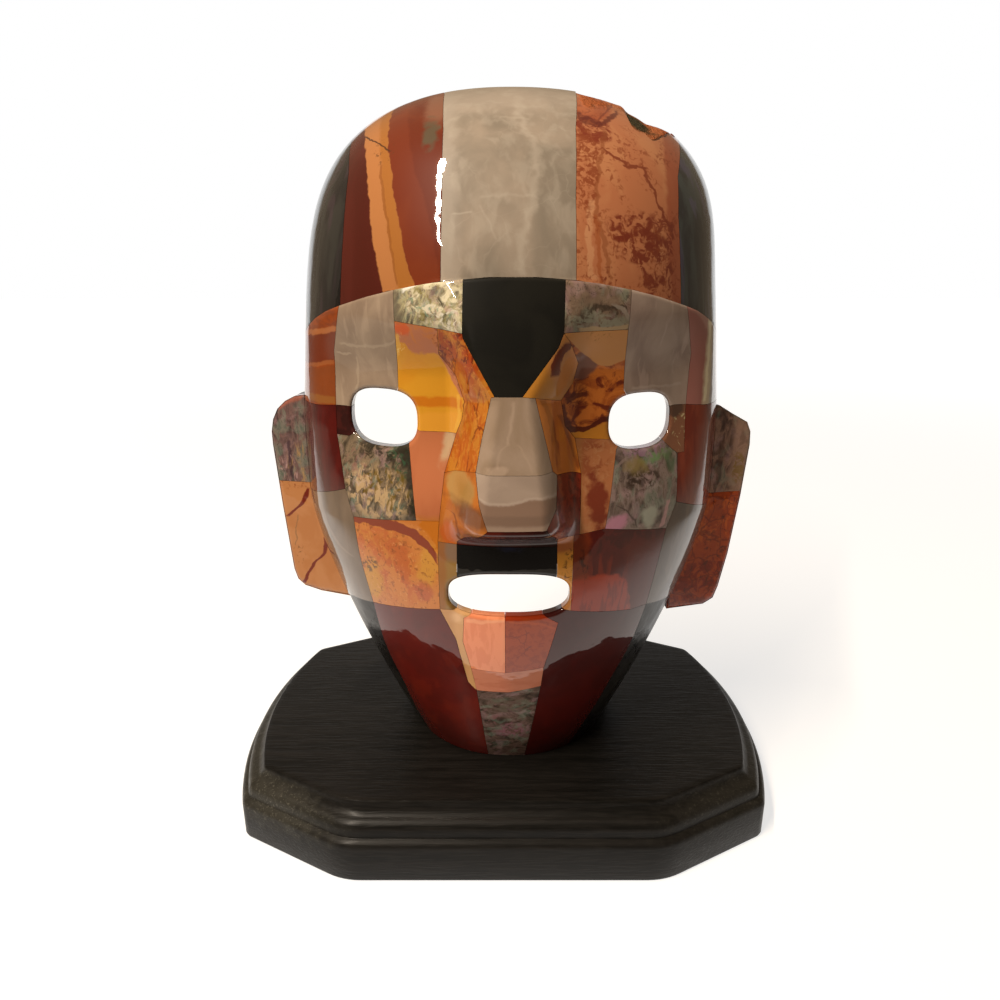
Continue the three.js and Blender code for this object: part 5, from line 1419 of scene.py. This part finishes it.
# Nose, cheeks and ears
polish("cheek_jasper_left", "#B56C46",
    lay("#A85C39", clouds(7, 0.54, 0.08, (1, 1, 3)), 0.5),
    lay("#C2A884", spot((-14.2, 109), (1.3, 4.6), 0.3, 0.8), 0.8),
    lay("#B26E27", before([(-22, 92.2), (-16.4, 92.3)], 1), 0.6))
polish("cheek_abalone_left", mother_of_pearl("#40362A", "#625443", "#7D6B56", 3.6, 0.5, 3),
    lay("#212117", past([(-26.5, 108.6), (-25.4, 102.3), (-24, 91)], 1.6, 1.2), 0.85),
    lay("#324B35", flecks(1.6, 0.55), spot((-26.7, 103.8), (3, 5)), 0.85),
    lay("#262217", flecks(2.2, 0.5, seed=3), spot((-30, 106.4), (6, 3)), 0.85),
    # These pale flecks are a painted flash of light off the nacre
    lay("#B49872", flecks(2.0, 0.5, (1, 1, 1.6), seed=6), spot((-31.6, 96.2), (8, 6), 0.2, 1.5),
        0.95),
    lay("#604B0F", flecks(1.8, 0.56, (1, 1, 1.6), seed=9), spot((-29.5, 97.5), (6, 5)), 0.8),
    lay("#B49C8C", flecks(1.3, 0.58, seed=11), spot((-36.3, 98.3), (3.4, 4)), 0.85),
    lay("#896056", flecks(1.6, 0.58, seed=14), spot((-36.6, 101.8), (4, 4)), 0.6))
polish("side_quartz_left", cloudy("#62503F", "#75614E", 7, (1, 1, 2), 5),
    lay("#85705C", vein([(-49.6, 92.7), (-46.5, 82.4), (-39.9, 77.7)], 0.8, 0.8), 0.5),
    lay("#4E3B2C", past([(-44.8, 76.5), (-38.6, 78.2)], 0.6), before([(-41.6, 70.9), (-37.8, 70.6)],
        2), 0.5))
polish("lower_cheek_left", "#C07531",
    lay("#B15621", flecks(3.5, 0.5, (1, 1, 1.6)), spot((-27.6, 78.6), (5, 10), -0.15, 1.6), 0.85),
    lay("#B9612D", flecks(2.4, 0.5, seed=4), spot((-34.1, 84.1), (6, 5), 0, 1.6), 0.8),
    lay("#BF8723", spot((-34.3, 72.7), (2.6, 5.5), 0.1, 1.2, 1.2), 0.85),
    lay("#C28A2F", spot((-19.3, 80.3), (2.4, 6.5), 0.15, 1, 1), 0.8),
    lay("#AA4F2A", spot((-21, 73.4), (2.4, 2.4), 0, 0.9, 1), 0.8),
    lay("#553A11", flecks(1.1, 0.52), spot((-34.9, 77.5), (2.6, 1.8), -0.6), 0.9),
    lay("#7E4011", flecks(1.2, 0.6, seed=7), 0.7),
    lay("#D39452", flecks(1.0, 0.63, seed=9), 0.6),
    lay("#B96A1A", past([(-25, 90.6), (-20, 88.8), (-17.2, 85)], 0.5), 0.9),
    lay("#803318", vein([(-38.7, 88.9), (-33.1, 89.5), (-29.3, 89), (-24.6, 88.5), (-20.8, 86.3),
        (-17.3, 82.6)], 1.3, 0.3, 0.6)))
polish("nose_wing_left", "#AA5F24",
    lay("#B76F2B", flecks(3, 0.5, (1, 1, 1.6)), 0.6),
    lay("#AB824A", spot((-11.4, 100.5), (3.2, 4.0), 0, 0.7)),
    lay("#966F33", spot((-10.6, 100.3), (1.6, 1.8), 0, 1.2), 0.6),
    lay("#6A432A", past([(-9, 98), (-4.9, 97.4)], 1), before([(-10.9, 98.1), (-4.4, 97)], 1), 0.8),
    lay("#6A4027", spot((-8.8, 95.7), (3.8, 2.6), 0, 1), 0.85),
    lay("#B55721", spot((-14.3, 89.1), (1.9, 2.6), 0, 0.6), 0.85),
    lay("#743611", vein([(-14.6, 94.6), (-12.7, 93.5), (-12.1, 87.6)], 0.35, 0.3), 0.7),
    lay("#8B714A", before([(-16.3, 84.9), (-12.3, 85.3)], 0.6), 0.7))
polish("mouth_corner_left", "#8D6B37",
    lay("#7A6356", past([(-16.6, 82.2), (-12.4, 82.2)], 0.8), 0.8),
    lay("#915827", before([(-15.2, 82.3), (-15.5, 72.1)], 0.6), 0.7),
    lay("#4E3116", past([(-14.4, 74.9), (-12.4, 79)], 0.8), before([(-16.6, 75.1), (-12.5, 76.1)],
        0.8), 0.7))
polish("nose_ridge", cloudy("#8B7661", "#A08B79", 8, (1, 1, 1.8), 4),
    lay("#B8A18E", vein([(0.1, 119.9), (-0.7, 115.3), (-1.1, 111.3)], 0.3, 0.7), 0.35),
    lay("#B8A18E", vein([(-1.1, 111.3), (-2.8, 109.3), (-3.4, 106.3)], 0.2, 0.6), 0.25),
    lay("#B39C87", vein([(0.7, 111.3), (3, 107.9), (3.8, 105.5)], 0.2, 0.6), 0.25),
    lay("#CAB19D", spot((-3.4, 105.9), (1.9, 0.9)), 0.35),
    lay("#B2866E", past([(5.7, 120.2), (7.2, 112.1), (8.5, 105.1)], 0.8), 0.6))
polish("nose_tip", cloudy("#968476", "#A99687", 9, (2, 1, 1), 6),
    lay("#7D6353", before([(-7.3, 100.6), (-2.8, 99.1), (3.4, 100.1), (9.8, 100.2)], 0.5, 0.3),
        0.9),
    lay("#BFAEA1", vein([(-7.3, 100.8), (-2.8, 99.3), (3.4, 100.3), (9.8, 100.4)], 0.25, 0.6),
        0.35),
    lay("#A38D7C", before([(-6.9, 95.9), (-4.9, 94.6), (5.6, 94.6), (8.9, 96.8)], 0.5, 0.2), 0.7))
polish("nose_underside", "#360B06",
    lay("#541508", before([(-1.7, 94.7), (-4.1, 87.8)], 1.5), 0.8),
    lay("#210402", past([(3.5, 94.4), (3.5, 86.7)], 1.5), 0.7),
    lay("#59190D", vein([(-12.3, 87.3), (-7.2, 88.2), (-1.7, 92.7)], 0.35, 0.3), 0.6))
polish("nose_side_upper_right", "#B57840",
    lay("#B17621", before([(7, 125.8), (8.9, 122.9), (10.1, 119.2)], 1), 0.7),
    lay("#CB854E", past([(11.8, 129.8), (13.8, 122.9)], 1), 0.6),
    lay("#5E2014", vein([(11.5, 131.3), (9.8, 128.8), (8.7, 126.7), (8.6, 124.7)], 1.1, 0.4, 0.6),
        0.95))
polish("nose_side_lower_right", "#BC6827",
    lay("#DB8444", before([(5.7, 119.8), (7, 114), (8.2, 104.4)], 0.8), 0.8),
    lay("#7E401A", vein([(5.4, 121.2), (8.1, 114.7), (10, 104.2)], 0.6, 0.5), 0.8),
    lay("#7E401A", vein([(10.2, 116), (12.8, 109.7), (15, 103)], 0.5, 0.5), 0.7),
    lay("#CF812B", clouds(4, 0.5, 0.08, (1, 1, 4), seed=3), 0.5))
polish("socket_jasper_right", "#A5531D",
    lay("#C7712C", flecks(4, 0.5, (1.6, 1, 1), seed=2), 0.8),
    lay("#631E0E", flecks(3.2, 0.54, (1.6, 1, 1), seed=5), 0.9),
    lay("#55190E", vein([(10.4, 118.2), (11.2, 114.6), (12.3, 112.1)], 1.0, 0.5, 0.6), 0.9),
    lay("#55190E", vein([(11.6, 118.9), (14.4, 119.3), (16.7, 119.7)], 0.8, 0.4, 0.8), 0.85),
    lay("#BF7D28", before([(12.3, 111.9), (16.3, 111.9), (19.7, 112.8), (23, 113.5)], 0.5, 0.4),
        0.9),
    lay("#51190B", vein([(11.7, 112.5), (15.6, 111.9), (19.2, 113.3), (22.5, 114.3)], 0.6, 0.3,
        0.5), 0.95),
    lay("#784C3E", spot((15.3, 126.3), (4.2, 2.8), -0.6, 0.4, 0.4)),
    lay("#632717", past([(20.3, 125.7), (22.6, 126.5), (26, 127.9)], 0.3), before([(20.4, 124.8),
        (22.7, 125.2), (26.3, 125.4)], 0.5), 0.9),
    lay("#BD8349", past([(9.5, 133.6), (11.7, 131.7), (16.3, 127.8), (20.6, 125.7), (23.3, 126.4),
        (26.5, 127.7)], 0.2, 0.2)),
    lay("#976831", flecks(1.1, 0.56), spot((18.4, 132.2), (2.6, 1.2)), 0.8))
polish("cheek_jasper_right", "#A96A43",
    lay("#8B492B", flecks(3.4, 0.5), spot((18, 104.5), (4, 5), 0, 1.6), 0.85),
    lay("#B37E54", flecks(1.6, 0.55, seed=3), 0.5),
    lay("#722919", spot((19.4, 95.1), (2.3, 6.2), -0.1, 0.8, 1.2), 0.9),
    lay("#976437", before([(15.7, 103), (16, 91.8)], 0.8), 0.6))
polish("cheek_abalone_right", mother_of_pearl("#4F423E", "#705F57", "#86746C", 4.2, 0.2, 7),
    lay("#34271F", flecks(2.0, 0.5), spot((30.5, 99.5), (4.4, 2.2), 0, 0.8), 0.9),
    lay("#8E7972", vein([(23.2, 95.9), (22.6, 101), (25.2, 104), (28.2, 105.1)], 0.6, 0.5, 0.8),
        0.6),
    lay("#6D8B5C", spot((34.7, 104.4), (3.2, 1.1), -0.15, 0.8, 0.9), 0.9),
    lay("#937184", flecks(1.5, 0.5, seed=2), spot((31.9, 105.8), (6, 1.5), 0, 0.6), 0.8),
    lay("#826F3E", spot((28.6, 102.8), (2.6, 1.4), 0.3, 0.8, 0.8), 0.75),
    lay("#465739", spot((37.7, 102.7), (1.4, 2.4), 0, 0.6), 0.6),
    lay("#B87C91", spot((24.2, 90), (3.4, 1.7), -0.3, 0.8, 0.8), 0.9),
    lay("#A1A191", spot((32.6, 90.6), (2.0, 2.4), 0.3, 0.8, 0.8), 0.85),
    lay("#C89998", vein([(37.4, 93.6), (36.8, 89.9), (36, 87.1)], 0.5, 0.4), 0.6),
    lay("#382E2C", vein([(24, 94.4), (26.8, 92.6), (29.6, 88.4)], 0.25, 0.3, 0.6), 0.7))
polish("nose_wing_right", "#651B08",
    lay("#7D2A15", clouds(4, 0.5, 0.08, (1, 1, 2)), 0.7),
    lay("#3A0802", flecks(2.4, 0.54), 0.6))
polish("mouth_corner_right", "#D69035",
    lay("#9C5131", past([(9.7, 84.8), (15.1, 84.3)], 0.8), 0.8),
    lay("#B07452", before([(10.2, 73.7), (15.2, 73.7)], 1), 0.6),
    lay("#512E15", flecks(1.4, 0.57), spot((13.3, 81.3), (1.6, 4)), 0.85))
polish("side_quartz_right", cloudy("#4C3D32", "#5C4B3E", 7, (1, 1, 2), 9),
    lay("#6B594A", clouds(3, 0.58, 0.06, (1, 1, 5), seed=3), 0.35))
polish("lower_cheek_right", "#4D0D07",
    lay("#350805", flecks(4, 0.5), past([(18.5, 82.9), (32.8, 82.2)], 1), 0.7),
    lay("#701E06", clouds(2.2, 0.5, 0.06, (1, 1, 7), seed=2), before([(15.1, 84.3), (25.6, 80.6)],
        2, 1.2), 0.8),
    lay("#561709", past([(25.5, 88.8), (27.1, 80.3), (29.1, 64.9)], 1.0), before([(20.3, 85.3),
        (33.7, 84.7)], 2), 0.9),
    lay("#98300F", before([(14.8, 77.9), (20.7, 77.7), (26.4, 75.9)], 0.6, 0.8),
        before([(26.8, 77.7), (28.4, 71.7), (30, 64.5)], 0.4)),
    lay("#701E07", clouds(1.4, 0.54, 0.05, (1, 1, 6), seed=6), before([(14.8, 77.4), (26.5, 75.1)],
        0.6), before([(26.8, 77.7), (30, 64.5)], 0.4), 0.7),
    lay("#7A2D0A", before([(17.8, 89.3), (17.7, 78.3)], 0.8, 0.6), past([(14.8, 77.4),
        (18.2, 76.9)], 0.6), 0.8),
    lay("#3B0E01", flecks(1.3, 0.55, (1, 1, 2.6)), spot((16.4, 80.7), (1.4, 4)), 0.85))
# The upper lip's small blue spot is a painted glint
polish("upper_lip_obsidian", "#0D0D0D", lay("#1B2038", spot((-0.5, 85.8), (1.6, 0.7), 0, 0.8), 0.8))
polish("lip_sliver_left", "#D09D68",
    lay("#EBBE90", spot((-13.2, 67.7), (1.6, 1.2), 0, 0.8), 0.7),
    lay("#AF7B49", before([(-13.8, 57.6), (-11.2, 53)], 1), 0.5))
polish("lower_lip_left", "#EF9368",
    lay("#DC794E", clouds(2, 0.52, 0.06, (1, 1, 6)), 0.45),
    # This pale line along the top is a painted highlight on the lip's rounded edge
    lay("#FFB78B", vein([(-10.8, 66.9), (-6.3, 66.9), (-1.6, 67.6)], 0.5, 0.5), 0.5))
polish("lower_lip_right", "#9A3E14",
    lay("#7C2908", flecks(1.5, 0.53, seed=2), 0.5),
    lay("#611A03", cracks(4, 0.25, seed=4), spot((1.8, 61), (3, 4.4)), 0.6),
    lay("#9E2E06", past([(-0.9, 67.1), (4.3, 67.6), (10.5, 66.6)], 0.4), 0.85),
    lay("#B34E1E", vein([(-0.9, 67.1), (4.3, 66.7), (10.5, 64.9)], 0.3, 0.3), 0.5))
polish("chin_band", "#CE8366",
    lay("#B9684D", clouds(3, 0.54, 0.08, (2, 1, 1)), 0.5),
    lay("#A1644D", past([(-0.8, 51.7), (-0.3, 45.2)], 2), 0.5))
polish("chin_abalone", mother_of_pearl("#342B25", "#57463D", "#6E5851", 3.4, 1.4, 11),
    lay("#635A4D", flecks(2, 0.5, (2, 1, 1), seed=3), spot((-0.7, 39.8), (5, 3)), 0.7),
    lay("#915D6A", flecks(1.6, 0.5, seed=5), spot((0.4, 30.2), (4, 2.6), 0, 1.5), 0.8),
    lay("#855A5C", flecks(1.4, 0.55, seed=8), spot((-4.9, 35.8), (2, 4)), 0.7))
polish("jaw_jasper_left", "#5C1107",
    lay("#4D0F07", clouds(9, 0.5, 0.1), 0.6),
    lay("#731E0B", clouds(6, 0.58, 0.06, (1, 1, 2.5), 0.4, seed=3), 0.4))
polish("jaw_jasper_right", "#430B06", lay("#370905", clouds(9, 0.5, 0.1, seed=2), 0.6))
polish("ear_upper_left", mother_of_pearl("#40312D", "#654E4C", "#795D57", 4, 0.15, 13),
    lay("#AA8759", flecks(1.6, 0.55, (1, 1, 3)), spot((-57.5, 95.4), (3, 6), 0.1, 1.5), 0.75),
    lay("#2F1F2C", vein([(-60, 102.5), (-60, 97), (-59.6, 91.9)], 0.5, 0.4), 0.7),
    lay("#B7938F", flecks(1.4, 0.58, (1, 1, 3), seed=5), spot((-60.9, 94.1), (3, 5)), 0.7),
    lay("#A35E4A", vein([(-62.1, 111.2), (-58.5, 113.4), (-55, 114.6)], 0.8, 0.7), 0.6))
polish("ear_lower_left", "#B97D4D",
    lay("#AB6A35", clouds(9, 0.5, 0.1), 0.6),
    lay("#6F2417", vein([(-55.2, 89.3), (-57.6, 84.9), (-60.2, 82.6), (-62.5, 80.7)], 0.55, 0.3,
        0.5)),
    lay("#6F2417", vein([(-51.3, 75.9), (-52.3, 70.8), (-55.6, 66.8), (-59.1, 60.6)], 0.5, 0.3,
        0.5)),
    lay("#794122", vein([(-53.4, 86), (-52.7, 80.3), (-51.3, 75.9)], 0.35, 0.3, 0.7), 0.7),
    lay("#795C3B", vein([(-58.9, 81.3), (-59.9, 76.8), (-60.5, 72.2)], 0.2, 0.2, 0.6), 0.6),
    lay("#604122", flecks(0.9, 0.6), spot((-59.9, 70.1), (2, 3)), 0.7),
    lay("#7B331B", flecks(1.2, 0.56), past([(-63.5, 88.8), (-56, 89.9)], 1), 0.7))
polish("ear_upper_right", mother_of_pearl("#533D35", "#7D6051", "#9D7967", 4, 0.1, 17),
    lay("#A07F6C", past([(59.9, 105.3), (60.2, 94.2)], 1), 0.5),
    lay("#7D6127", flecks(1.6, 0.5), spot((62.5, 94.6), (2, 4)), 0.7),
    lay("#53342B", vein([(57, 102.7), (57, 91.5)], 0.8, 0.6), 0.5))
polish("ear_lower_right", "#A23D0E",
    lay("#C35817", flecks(3.4, 0.5, (1, 1, 1.6)), past([(53.4, 72.8), (64.1, 71.9)], 3), 0.8),
    lay("#771904", flecks(3.2, 0.5, seed=3), before([(50.8, 68.5), (64.2, 70.4)], 3), 0.85),
    lay("#641E07", cracks(6, 0.5, seed=5), 0.6),
    lay("#4F1605", flecks(1.6, 0.6, seed=8), 0.7))


slots = {entry["node"]: entry["material_slot"] for entry in frame["record"]["subparts"]}

for node, slot in sorted(slots.items()):
    if node == "base":
        set_base(stained_wood())
    elif node == "mask_backing":
        set_backing(cast_resin())
    else:
        ground, layers, finish = LOOKS[node]
        stone = lapped_stone(f"{slot}_{node}", ground, layers, **finish)
        setter = set_ear_plate if node.startswith("ear_") else set_plate
        setter(node, slot, stone)
